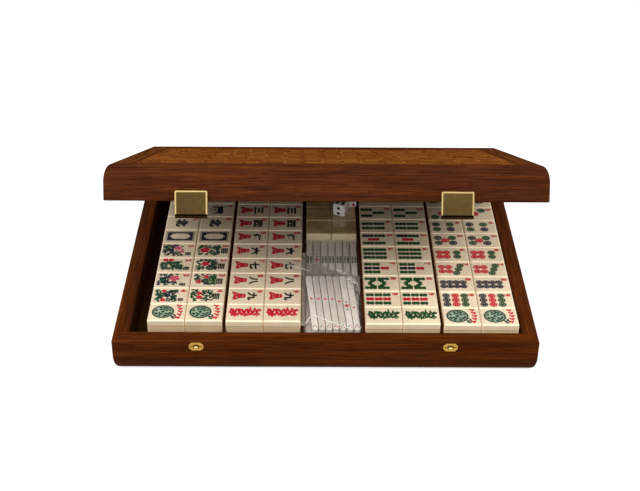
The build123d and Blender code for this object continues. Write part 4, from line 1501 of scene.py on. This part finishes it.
@dataclass
class CaseLid:
    """Upper shell of the case with its parquet inlay: blocks of strips in a lattice of bands."""

    block: float = 12.0
    band: float = 6.8
    half_width: float = 177.9
    half_depth: float = 137.9
    strip_width: float = 2.2
    strip_gap: float = 0.12
    strip_depth: float = 0.2
    strip_rise: float = 0.08
    least_strip: float = 0.3
    least_cell: float = 0.5
    seed: int = 7

    def dress(self) -> None:
        """Gives the lid's CAD nodes their finishes."""
        dress(LID_FRONT_WOOD, "lid_front_wall", "lid_back_wall")
        dress(LID_SIDE_WOOD, "lid_left_wall", "lid_right_wall")
        dress(LID_BOARD, "lid_board")
        dress(PARQUET_ACROSS, "lid_inlay")
        dress(FLOCK, "lid_board_lining", "lid_wall_lining")

    def strips(self, maker: MeshMaker, low: Point2, high: Point2, across: bool, top: float) -> None:
        """Fills one cell of the parquet with strips.

        Args:
            maker: gathers the strips.
            low: the cell's left near corner.
            high: its right far corner.
            across: whether the strips run across the lid.
            top: height of the inlay under them, with the lid shut.
        """
        shuffle = random.Random(hash((round(low[0]), round(low[1]), self.seed)))
        span = (high[1] - low[1]) if across else (high[0] - low[0])
        count = max(round(span / self.strip_width), 1)
        cell_tone = shuffle.gauss(0.5, 0.06)
        gap = self.strip_gap / 2
        for i in range(count):
            a, b = span * i / count + gap, span * (i + 1) / count - gap
            if across:
                x0, y0, x1, y1 = low[0] + gap, low[1] + a, high[0] - gap, low[1] + b
            else:
                x0, y0, x1, y1 = low[0] + a, low[1] + gap, low[0] + b, high[1] - gap
            if min(x1 - x0, y1 - y0) < self.least_strip:
                continue
            outline = [(x0, y0), (x1, y0), (x1, y1), (x0, y1)]
            finish = PARQUET_ACROSS if across else PARQUET_ALONG
            tone = cell_tone + shuffle.gauss(0, 0.13)
            maker.prism(outline, top - self.strip_depth, top + self.strip_rise, finish, LID_TURN, tone)

    def build(self) -> None:
        """Lays the parquet on the lid's inlay."""
        maker = MeshMaker()
        inlay = frame["nodes"]["lid_inlay"].data
        top = max((SHUT_TURN @ Vector(v.co / MM)).z for v in inlay.vertices)
        pitch = self.block + self.band
        columns, rows = (math.ceil(half / pitch) for half in (self.half_width, self.half_depth))
        for column in range(-columns, columns):
            for row in range(-rows, rows):
                x, y = column * pitch, row * pitch + pitch / 2
                for cell_x, cell_y, width, depth, across in (
                    (x, y, self.block, self.block, True),
                    (x + self.block, y, self.band, self.block, False),
                    (x, y + self.block, self.block, self.band, True),
                    (x + self.block, y + self.block, self.band, self.band, False),
                ):
                    low = (max(cell_x, -self.half_width), max(cell_y, -self.half_depth))
                    high = (min(cell_x + width, self.half_width), min(cell_y + depth, self.half_depth))
                    if min(high[0] - low[0], high[1] - low[1]) > self.least_cell:
                        self.strips(maker, low, high, across, top)
        maker.piece("parquet_strips", "lid")


@dataclass
class Fittings:
    """Hinges and latches."""

    def dress(self) -> None:
        """Gives the metal parts their finishes."""
        for side in ("left", "right"):
            hinge = [f"hinge_{side}_{part}" for part in ("base_leaf", "lid_leaf", "pin")]
            dress(SATIN_BRASS, *hinge, f"latch_{side}_pin")
            dress(LATCH_BRASS, f"latch_{side}_flap", f"latch_{side}_bracket")
        dress(SATIN_BRASS, "base_hinge_screws", "lid_hinge_screws", "latch_screws")


@dataclass
class TileSet:
    """The tiles and the marks on the faces that show."""

    def dress(self) -> None:
        """Gives the tiles their plastic."""
        dress(IVORY, "joker_tiles", "flower_tiles", "season_tiles", "wind_tiles")
        dress(IVORY, "white_dragon_tiles", "red_dragon_tiles", "green_dragon_tiles")
        dress(IVORY, "character_tiles", "bamboo_tiles", "circle_tiles")
        dress(AMBER_BACK, "blank_tiles")

    def draw_rows(
        self,
        name: str,
        bank: str,
        first_row: int,
        draws: Sequence[Callable[[TileFace], None]],
        columns: Sequence[int] = (0, 1),
    ) -> None:
        """Draws the marks of some rows of a bank as one piece.

        Args:
            name: the piece's name.
            bank: a CAD node that fills the bank's rear rows.
            first_row: the nearest row's number from the front.
            draws: for each row from there on, what draws one of its faces.
            columns: which of the bank's two columns.
        """
        maker = MeshMaker()
        low, high = low_corner(bank), high_corner(bank)
        middles = (low.x + TILE_LENGTH / 2, high.x - TILE_LENGTH / 2)
        for row, draw in enumerate(draws, first_row):
            y = high.y - (ROWS - row) * TILE_PITCH + TILE_GAP + TILE_WIDTH / 2
            for column in columns:
                draw(TileFace(maker, middles[column], y))
        maker.piece(name, "base")

    def build(self) -> None:
        """Draws every mark."""
        suits = {"character": draw_number, "bamboo": draw_bamboo, "circle": draw_circles}
        for name, draw in suits.items():
            draws = [partial(draw, number=number) for number in range(9, 0, -1)]
            self.draw_rows(f"{name}_marks", f"{name}_tiles", 1, draws)
        winds = [partial(draw_wind, order=order) for order in range(len(WINDS))]
        self.draw_rows("wind_marks", "wind_tiles", 6, winds)
        self.draw_rows("white_dragon_marks", "wind_tiles", 5, [draw_white_dragon])
        self.draw_rows("flower_marks", "wind_tiles", 1, [sprig.draw for sprig in FLOWERS], [0])
        self.draw_rows("season_marks", "wind_tiles", 1, [sprig.draw for sprig in SEASONS], [1])
        red, green = partial(draw_ornament, paint=RED), partial(draw_ornament, paint=GREEN)
        self.draw_rows("red_dragon_marks", "character_tiles", 0, [red])
        self.draw_rows("green_dragon_marks", "bamboo_tiles", 0, [green])
        self.draw_rows("left_joker_marks", "wind_tiles", 0, [draw_joker])
        self.draw_rows("right_joker_marks", "circle_tiles", 0, [draw_joker])


@dataclass
class Dice:
    """Two dice on the spare blanks, with inlaid pips."""

    pip: float = 1.65
    spread: float = 3.1
    pip_depth: float = 0.5
    pip_rise: float = 0.04

    def dress(self) -> None:
        """Gives the dice their plastic."""
        dress(DIE_PLASTIC, "die_front", "die_back")

    def spots(self, count: int) -> list[Point2]:
        """Places of the pips on a face, in units of the spread.

        Args:
            count: how many pips it has.
        Returns:
            The places.
        """
        corners = [(-1, -1), (1, 1), (-1, 1), (1, -1)]
        return {
            1: [(0, 0)],
            2: [(0, -1), (0, 1)],
            3: [(-1, -1), (0, 0), (1, 1)],
            4: corners,
            5: [*corners, (0, 0)],
            6: [*corners, (-1, 0), (1, 0)],
        }[count]

    def build(self) -> None:
        """Inlays the pips of both dice. They have none below, where they lie."""
        quarter = math.pi / 2
        sides = {
            "front": Matrix.Rotation(quarter, 4, "X"),
            "right": Matrix.Rotation(quarter, 4, "Y"),
            "top": UPRIGHT,
            "left": Matrix.Rotation(-quarter, 4, "Y"),
            "back": Matrix.Rotation(-quarter, 4, "X"),
        }
        dice = (("die_front", -22.0, (2, 4, 6, 3, 5)), ("die_back", 10.0, (4, 5, 1, 2, 3)))
        for node, turn, counts in dice:
            low, high = low_corner(node), high_corner(node)
            half = (high.z - low.z) / 2
            seat = Matrix.Translation((low + high) / 2) @ Matrix.Rotation(math.radians(turn), 4, "Z")
            maker = MeshMaker()
            for side, count in zip(sides.values(), counts):
                paint = RED if count in (1, 4) else BLACK
                for x, y in self.spots(count):
                    spot = circle(self.pip, 16, (x * self.spread, y * self.spread))
                    bottom, top = half - self.pip_depth, half + self.pip_rise
                    maker.prism(spot, bottom, top, paint.value, seat @ side)
            maker.piece(f"{node}_pips", "base")


class StickMark(Enum):
    """The painted marks that tell a counting stick's value."""

    COLUMNS = "two columns of black dots"
    STAR = "a red star between two black dots"
    DOT = "one red dot"


@dataclass
class CountingSticks:
    """Three piles of rounded plastic sticks with small painted marks."""

    length: float = 81.0
    width: float = 6.1
    thickness: float = 3.4
    pitch: float = 6.65
    layer_pitch: float = 3.45
    across: int = 8
    round_off: float = 0.55
    mark_depth: float = 0.2
    mark_rise: float = 0.04
    wobble: float = 0.35
    rear_mark_y: float = -21.0
    loose_turn: float = 5.0
    loose_tilt: float = 5.62
    loose_slide: float = 1.2
    loose_marks: tuple[float, ...] = (5.0, 4.5, 4.5, 4.0, 1.0, -5.5, -8.0)
    loose_star: int = 5
    shuffle: random.Random = field(default_factory=partial(random.Random, 31))

    def stick(self, maker: MeshMaker, place: Matrix) -> None:
        """Adds one stick: a bar with round ends and rounded long edges, lying along Y.

        Args:
            maker: gathers the stick.
            place: turns and moves it.
        """
        radius = self.width / 2
        half = self.length / 2 - radius
        outline = [polar((0, half), radius, math.pi * i / 8) for i in range(9)]
        outline += [(-x, -y) for x, y in outline]
        # Each step of the rounded edge, by how far it lies inside the outline and from the face
        edge = ((self.round_off, 0.0), (0.16, 0.16), (0.0, self.round_off))
        steps = [*edge, *((inset, self.thickness - z) for inset, z in reversed(edge))]
        levels = []
        for inset, z in steps:
            shrink = (radius - inset) / radius
            ends = [math.copysign(half, y) for _, y in outline]
            levels.append([(x * shrink, e + (y - e) * shrink, z) for (x, y), e in zip(outline, ends)])
        maker.loft(levels, STICK_PLASTIC, place, self.shuffle.uniform(0.1, 0.9))

    def paint(self, maker: MeshMaker, place: Matrix, outline: Outline, paint: Paint) -> None:
        """Fills an outline on top of a stick."""
        low, high = self.thickness - self.mark_depth, self.thickness + self.mark_rise
        maker.prism(outline, low, high, paint.value, place)

    def mark(self, maker: MeshMaker, place: Matrix, kind: StickMark) -> None:
        """Paints a stick's mark.

        Args:
            maker: gathers the mark.
            place: the stick's place, moved along it to the mark.
            kind: which mark.
        """
        paint = partial(self.paint, maker, place)
        if kind is StickMark.COLUMNS:
            for x in (-1.5, 1.5):
                for y in (-5.2, -2.6, 0, 2.6, 5.2):
                    paint(circle(1.15, 10, (x, y)), BLACK)
        elif kind is StickMark.STAR:
            for i in range(3):
                paint(turned(rectangle(1.2, 5.4), math.pi * i / 3), RED)
            for y in (-5.6, 5.6):
                paint(circle(1.1, 10, (0, y)), BLACK)
        else:
            paint(circle(1.35, 12), RED)

    def pile(self, name: str, node: str, layers: int, kinds: Sequence[StickMark | None]) -> None:
        """Builds a flat pile in place of its CAD node.

        Args:
            name: the piece's name.
            node: the CAD node.
            layers: how many layers of sticks it has.
            kinds: the marks of the top layer's sticks from the left, over and over.
        """
        low, high = low_corner(node), high_corner(node)
        middle = (low + high) / 2
        maker = MeshMaker()
        for layer in range(layers):
            shown = layer == layers - 1
            across = self.across - 1 if shown else self.across
            pitch = self.pitch * self.across / across
            for column in range(across):
                x = middle.x + (column - (across - 1) / 2) * pitch
                spot = Matrix.Translation((x, middle.y, low.z + layer * self.layer_pitch))
                wobble = math.radians(self.shuffle.uniform(-self.wobble, self.wobble))
                place = spot @ Matrix.Rotation(wobble, 4, "Z")
                self.stick(maker, place)
                kind = kinds[column % len(kinds)]
                if shown and kind:
                    shift = Matrix.Translation((0, self.rear_mark_y - middle.y, 0))
                    self.mark(maker, place @ shift, kind)
        maker.piece(name, "base", [node], smooth_angle=40)

    def loose_layers(self) -> None:
        """Builds the two tilted, slanting layers on the front pile."""
        low, high = low_corner("sticks_front_pile"), high_corner("sticks_front_pile")
        slope = math.tan(math.radians(self.loose_tilt))
        half = self.length / 2
        seat = Matrix.Translation(((low.x + high.x) / 2, low.y + 2.5 + half, high.z + 0.05 + half * slope))
        seat @= Matrix.Rotation(math.radians(self.loose_tilt), 4, "X")
        slant = Matrix.Rotation(math.radians(self.loose_turn), 4, "Z")
        pitch = self.pitch / math.cos(math.radians(self.loose_turn))
        maker = MeshMaker()
        count = self.across - 1
        for layer in range(2):
            for column in range(count):
                slide = self.shuffle.uniform(-self.loose_slide, 0.0)
                spot = ((column - (count - 1) / 2) * pitch, slide, layer * self.layer_pitch)
                place = seat @ Matrix.Translation(spot) @ slant
                self.stick(maker, place)
                if layer == 1:
                    for x, y, paint in ((-1.5, -36.4, BLACK), (1.4, -37.2, RED), (0, -34.4, BLACK)):
                        self.paint(maker, place, circle(0.75, 10, (x, y)), paint)
                    kind = StickMark.STAR if column == self.loose_star else StickMark.DOT
                    shift = Matrix.Translation((0, self.loose_marks[column], 0))
                    self.mark(maker, place @ shift, kind)
        maker.piece("loose_sticks", "base", ["sticks_loose_layers"], smooth_angle=40)

    def build(self) -> None:
        """Builds all three piles."""
        self.pile("front_stick_pile", "sticks_front_pile", 7, [None])
        kinds = [StickMark.COLUMNS, StickMark.STAR, *[StickMark.COLUMNS] * 5]
        self.pile("rear_stick_pile", "sticks_rear_pile", 9, kinds)
        self.loose_layers()


@dataclass
class FilmBags:
    """Two bags of thin clear film round the sticks.

    The front bag is wrapped round the front sticks, and its open mouth lies crumpled over the
    rear ones. A surface is given for u and v from 0 to 1.
    """

    thickness: float = 0.12
    left: float = -20.5
    inset: float = 0.2
    wrap_length: float = 83.0
    near_height: float = 36.4
    climb: float = 9.2
    far_height: float = 45.6
    end_height: float = 31.6
    mouth_height: float = 38.2
    mouth_limit: float = 39.4
    scraps: int = 26
    front_low: Vector = field(default_factory=partial(low_corner, "bag_front"))
    front_high: Vector = field(default_factory=partial(high_corner, "bag_front"))
    rear_low: Vector = field(default_factory=partial(low_corner, "bag_rear"))
    rear_high: Vector = field(default_factory=partial(high_corner, "bag_rear"))

    def sheet(
        self,
        maker: MeshMaker,
        surface: Callable[[float, float], Point3],
        columns: int,
        rows: int,
        finish: Finish = FILM,
    ) -> None:
        """Adds a thin closed sheet over a surface.

        Args:
            maker: gathers the sheet.
            surface: gives a place for u and v.
            columns: how many steps it has from left to right.
            rows: how many steps it has from near to far.
            finish: the film's finish.
        """
        grid = [
            [Vector(surface(i / columns, j / rows)) for j in range(rows + 1)]
            for i in range(columns + 1)
        ]
        lower, upper = [], []
        for i in range(columns + 1):
            for j in range(rows + 1):
                along = grid[min(i + 1, columns)][j] - grid[max(i - 1, 0)][j]
                across = grid[i][min(j + 1, rows)] - grid[i][max(j - 1, 0)]
                normal = along.cross(across)
                normal = normal.normalized() if normal.length > 1e-9 else Vector((0, 0, 1))
                upper.append(grid[i][j])
                lower.append(grid[i][j] - normal * self.thickness)
        size, stride = len(upper), rows + 1
        faces = []
        for i in range(columns):
            for j in range(rows):
                a, b = i * stride + j, (i + 1) * stride + j
                faces.append((a, b, b + 1, a + 1))
                faces.append((size + a + 1, size + b + 1, size + b, size + a))
        rim = [i * stride for i in range(columns + 1)]
        rim += [columns * stride + j for j in range(1, rows + 1)]
        rim += [i * stride + rows for i in range(columns - 1, -1, -1)]
        rim += range(rows - 1, 0, -1)
        faces += [(b, a, size + a, size + b) for a, b in zip(rim, rim[1:] + rim[:1])]
        maker.add(upper + lower, faces, finish)

    def fold(
        self, maker: MeshMaker, route: Sequence[Sequence[float]], width: float, finish: Finish = FOLD_HIGHLIGHT_FILM
    ) -> None:
        """Adds a sharp fold of film; its default finish paints a highlight along it from end to end.

        Args:
            maker: gathers the fold.
            route: places that it runs through.
            width: its greatest width.
            finish: the film's finish.
        """
        points = []
        for point, side, t in along_track(smooth_track([Vector(p) for p in route])):
            half = width / 2 * (0.5 + 0.5 * math.sin(math.pi * t))
            rise = Vector((0, 0, self.thickness + half * 0.5))
            points += [point - side * half, point + side * half, point + rise]
        last = len(points) - 3
        faces = [(0, 1, 2)]
        for a in range(0, last, 3):
            faces += [(a + k, a + j, a + 3 + j, a + 3 + k) for j, k in ((0, 1), (1, 2), (2, 0))]
        faces.append((last + 2, last + 1, last))
        maker.add(points, faces, finish)

    def ripple(self, x: float, y: float, amount: float, scale: float = 0.12) -> float:
        """Height of the film's creases at a place.

        Args:
            x: the place from left to right.
            y: the place from near to far.
            amount: height of the sharpest crease.
            scale: how many creases there are to a millimetre.
        Returns:
            The height.
        """
        ridge = 1 - abs(noise.noise(Vector((x * scale, y * scale * 0.5, 3.0)))) * 2.4
        return amount * max(ridge, -0.4)

    def front_x(self, u: float) -> float:
        """Place from left to right on the front bag."""
        return self.left + (self.front_high.x - self.left) * u

    def top_height(self, y: float) -> float:
        """Height of the front bag's top, which climbs towards the rear."""
        climbed = self.climb * (y - self.front_low.y) / self.wrap_length
        return min(self.near_height + climbed, self.far_height)

    def top(self, u: float, v: float) -> Point3:
        """Place on the front bag's top, which sinks at both sides.

        Args:
            u: from left to right.
            v: from near to far.
        Returns:
            The place in millimetres.
        """
        x, y = self.front_x(u), self.front_low.y + self.inset + self.wrap_length * v
        z = self.top_height(y) + self.ripple(x, y, 0.5)
        return (x, y, z - 1.2 * max(0, 0.06 - min(u, 1 - u)) / 0.06)

    def near_end(self, u: float, v: float) -> Point3:
        """Place on the front bag's upright end.

        Args:
            u: from left to right.
            v: from its foot up.
        Returns:
            The place in millimetres.
        """
        x = self.front_x(u)
        y = self.front_low.y + self.inset + self.ripple(x, v * 30, 0.3) * v
        return (x, y, TRAY_FLOOR + self.end_height * v)

    def mouth(self, u: float, v: float) -> Point3:
        """Place on the front bag's open mouth, whose edges curve nearer towards the right.

        Args:
            u: from left to right.
            v: from near to far.
        Returns:
            The place in millimetres.
        """
        near, far = -62.0 - 22.0 * u**2, -31.0 - 27.0 * u**1.4 + 1.5 * math.sin(9.0 * u)
        x, y = self.front_x(u), near + (far - near) * v
        return (x, y, min(self.mouth_height + self.ripple(x, y, 0.7), self.mouth_limit))

    def flap(self, u: float, v: float) -> Point3:
        """Place on the pointed flap that lies on the tiles to the left of the sticks.

        Args:
            u: from the bag to the flap's tip.
            v: from near to far.
        Returns:
            The place in millimetres.
        """
        x = -40.4 * u + self.left * (1 - u)
        y = -63.0 + 29.0 * (v * (1 - 0.7 * u) + 0.75 * u)
        return (x, y, TILE_TOP + 0.35 + self.ripple(x, y, 0.5, 0.2) * (1 - u))

    def bulge(self, u: float, v: float) -> Point3:
        """Place on the roll of film that bulges over the sticks' left side.

        Args:
            u: from left to right.
            v: from near to far.
        Returns:
            The place in millimetres.
        """
        x, y = -23.7 + 4.4 * u, self.front_low.y + 1.0 + 128.0 * v
        return (x, y, 40.6 + self.ripple(x, y, 1.2, 0.3) - 2.0 * abs(2 * u - 1) ** 2)

    def rear_top(self, u: float, v: float) -> Point3:
        """Place on the rear bag's top.

        Args:
            u: from left to right.
            v: from near to far.
        Returns:
            The place in millimetres.
        """
        low, high = self.rear_low, self.rear_high
        x, y = low.x + (high.x - low.x) * u, low.y + (high.y - low.y) * v
        return (x, y, high.z - 0.1 + min(self.ripple(x, y, 0.25), 0.2))

    def add_folds(self, maker: MeshMaker) -> None:
        """Adds the long folds on the front bag's top, flap and mouth.

        Args:
            maker: gathers the folds.
        """
        # All but the seam fold take the painted fold highlight
        near = ((-19.6, -137.6), (-14.2, -127.0), (-9.0, -126.2))
        arc = (*near, (2.0, -132.6), (14.0, -139.0), (27.0, -144.4))
        self.fold(maker, [(x, y, self.top_height(y) + 0.6) for x, y in arc], 1.5)
        self.fold(maker, [(-37.5, -42.2, 43.6), (-27.2, -48.6, 44.2), (-15.9, -55.4, 44.4)], 1.1)
        self.fold(maker, [(-35.4, -51.7, 43.6), (-30.4, -58.6, 43.7)], 0.9)
        seam = ((17.0, -55.0, 42.6), (26.0, -66.0, 45.0), (31.5, -78.0, 44.6), (33.2, -96.0, 42.8))
        self.fold(maker, seam, 1.2, CRUMPLED_FILM)

    def add_scraps(self, maker: MeshMaker) -> None:
        """Adds the short, crumpled folds at the right of the front bag's mouth.

        Args:
            maker: gathers the folds.
        """
        shuffle = random.Random(41)
        for i in range(self.scraps):
            t = shuffle.random()
            x, y = 11 + 20 * t + shuffle.gauss(0, 2.0), -50 - 32 * t + shuffle.gauss(0, 3.0)
            turn, length = shuffle.uniform(-1.4, 0.4), shuffle.uniform(3.0, 7.0)
            reach = Vector((math.cos(turn), math.sin(turn), 0)) * length / 2
            middle = Vector((min(x, 31.0), y, 45.4))
            bend = Vector((reach.y, -reach.x, 1.0)) * 0.3
            # One scrap in three takes the painted fold highlight
            finish = CRUMPLED_FILM if i % 3 else FOLD_HIGHLIGHT_FILM
            route = (middle - reach, middle + bend, middle + reach)
            self.fold(maker, route, shuffle.uniform(0.5, 1.3), finish)

    def build(self) -> None:
        """Makes both bags."""
        maker = MeshMaker()
        self.sheet(maker, self.top, 44, 60)
        self.sheet(maker, self.near_end, 30, 12)
        self.sheet(maker, self.mouth, 44, 30, MILKY_FILM)
        self.sheet(maker, self.flap, 16, 20, HAZY_FILM)
        self.sheet(maker, self.bulge, 8, 70, MILKY_FILM)
        self.add_folds(maker)
        self.add_scraps(maker)
        maker.piece("front_bag_film", "base", ["bag_front"], smooth_angle=60)
        maker = MeshMaker()
        self.sheet(maker, self.rear_top, 40, 50)
        maker.piece("rear_bag_film", "base", ["bag_rear"], smooth_angle=60)


# ---------------------------------------------------------------- studio
@dataclass
class Studio:
    """Pale floor, soft lamps, and the camera at its viewing angle. Places are in metres."""

    camera_place: Point3 = (-0.01109, -1.09897, 0.72369)
    lens: float = 70.02
    yaw: float = 0.00558
    pitch: float = 0.55652
    roll: float = 0.00726
    target: Point3 = (0, 0, 0.05)
    sky_strength: float = 0.53
    floor_glow: float = 0.48
    flag_glow: float = 0.19

    def seen(self, tree: Tree, *kinds: str) -> Socket:
        """1 for rays that show a surface, 0 for rays that take light from it.

        Args:
            tree: the nodes to add to.
            kinds: the kinds of ray that show it, as the Light Path node names them.
        Returns:
            The value's socket.
        """
        rays = add_node(tree, "LightPath").node.outputs
        found = rays[f"Is {kinds[0]} Ray"]
        for kind in kinds[1:]:
            links = {0: found, 1: rays[f"Is {kind} Ray"]}
            found = add_node(tree, "Math", {"operation": "MAXIMUM"}, links)
        return found

    def plane(self, name: str, size: float, place: Point3) -> tuple[bpy.types.Object, Tree]:
        """Adds a flat square with a bare material.

        Args:
            name: name of the square and its material.
            size: length of its sides in metres.
            place: its middle.
        Returns:
            The square and its material's nodes.
        """
        bpy.ops.mesh.primitive_plane_add(size=size, location=place)
        made = bpy.context.object
        made.name = name
        made.data.materials.append(bare_material(name))
        return made, made.data.materials[0].node_tree

    def floor(self) -> None:
        """Adds a floor that looks white and keeps the object's shadow."""
        plane, tree = self.plane("studio_floor", 8.0, (0, 0, -0.0002))
        add = partial(add_node, tree)
        diffuse = add("LightPath", output="Is Diffuse Ray")
        tints = {"data_type": "RGBA", COLOUR_A: "#d8d8d8", COLOUR_B: "#8a8278"}
        shade = add("Mix", tints, {FACTOR: diffuse}, MIXED_COLOUR)
        matt = add("BsdfDiffuse", links={"Color": shade})
        bright = add("Emission", {"Strength": self.floor_glow})
        seen = self.seen(tree, "Camera", "Glossy", "Transmission")
        glow = add("MixShader", links={0: seen, 2: bright})
        both = add("AddShader", links={0: matt, 1: glow})
        add("OutputMaterial", links={"Surface": both})

    def world(self) -> None:
        """Sets a white world for what is seen and a soft grey one for what lights."""
        world = bpy.data.worlds.new("studio_world")
        world.use_nodes = True
        bpy.context.scene.world = world
        world.node_tree.nodes.clear()
        add = partial(add_node, world.node_tree)
        seen = self.seen(world.node_tree, "Camera", "Transmission")
        strength = add("MapRange", {"To Min": self.sky_strength}, {"Value": seen})
        add("OutputWorld", links={"Surface": add("Background", links={"Strength": strength})})

    def lamp(self, name: str, place: Point3, size: float, energy: float) -> None:
        """Adds a square lamp that looks at the case.

        Args:
            name: the lamp's name.
            place: its middle.
            size: length of its sides.
            energy: its power in watts.
        """
        data = bpy.data.lights.new(name, "AREA")
        data.shape = "SQUARE"
        data.size = size
        data.energy = energy
        made = bpy.data.objects.new(name, data)
        made.location = place
        made.rotation_mode = "QUATERNION"
        made.rotation_quaternion = (Vector(self.target) - Vector(place)).to_track_quat("-Z", "Y")
        bpy.context.scene.collection.objects.link(made)

    def flag(self) -> None:
        """Adds a dark card in front of the case that only shiny surfaces show."""
        card, tree = self.plane("studio_flag", 1.0, (0, -2.6, 0.85))
        card.rotation_euler = (math.pi / 2, 0, 0)
        card.scale = (4.0, 1.3, 1.0)
        dim = add_node(tree, "Emission", {"Strength": self.flag_glow})
        add_node(tree, "OutputMaterial", links={"Surface": dim})
        card.visible_camera = False
        card.visible_diffuse = False
        card.visible_shadow = False
        card.visible_transmission = False

    def camera(self) -> None:
        """Adds the camera."""
        sin_yaw, cos_yaw = math.sin(self.yaw), math.cos(self.yaw)
        level_reach = math.cos(self.pitch)
        forward = Vector((sin_yaw * level_reach, cos_yaw * level_reach, -math.sin(self.pitch)))
        level = Vector((cos_yaw, -sin_yaw, 0))
        upward = level.cross(forward)
        c, s = math.cos(self.roll), math.sin(self.roll)
        right, up = level * c + upward * s, upward * c - level * s
        data = bpy.data.cameras.new("camera")
        data.lens = self.lens
        data.sensor_width = 36
        made = bpy.data.objects.new("camera", data)
        rotation = Matrix((right, up, -forward)).transposed().to_4x4()
        made.matrix_world = Matrix.Translation(self.camera_place) @ rotation
        bpy.context.scene.collection.objects.link(made)
        bpy.context.scene.camera = made

    def build(self) -> None:
        """Sets up the studio."""
        self.floor()
        self.world()
        self.lamp("key_lamp", (-0.25, -1.38, 1.6), 1.8, 39.5)
        self.lamp("right_lamp", (1.25, -0.1, 0.92), 0.6, 12)
        self.lamp("left_lamp", (-1.25, 0.1, 0.92), 0.6, 8)
        self.flag()
        self.camera()
        bpy.context.scene.view_settings.view_transform = "Standard"


def main() -> None:
    """Builds and dresses every sub-assembly, then the studio."""
    logging.basicConfig(level=logging.INFO, format="%(message)s")
    base, lid, fittings = CaseBase(), CaseLid(), Fittings()
    tiles, dice, sticks, bags = TileSet(), Dice(), CountingSticks(), FilmBags()
    for assembly in (base, lid, fittings, tiles, dice):
        assembly.dress()
    for assembly in (lid, tiles, dice, sticks, bags):
        assembly.build()
    Studio().build()


if __name__ == "__main__":
    main()
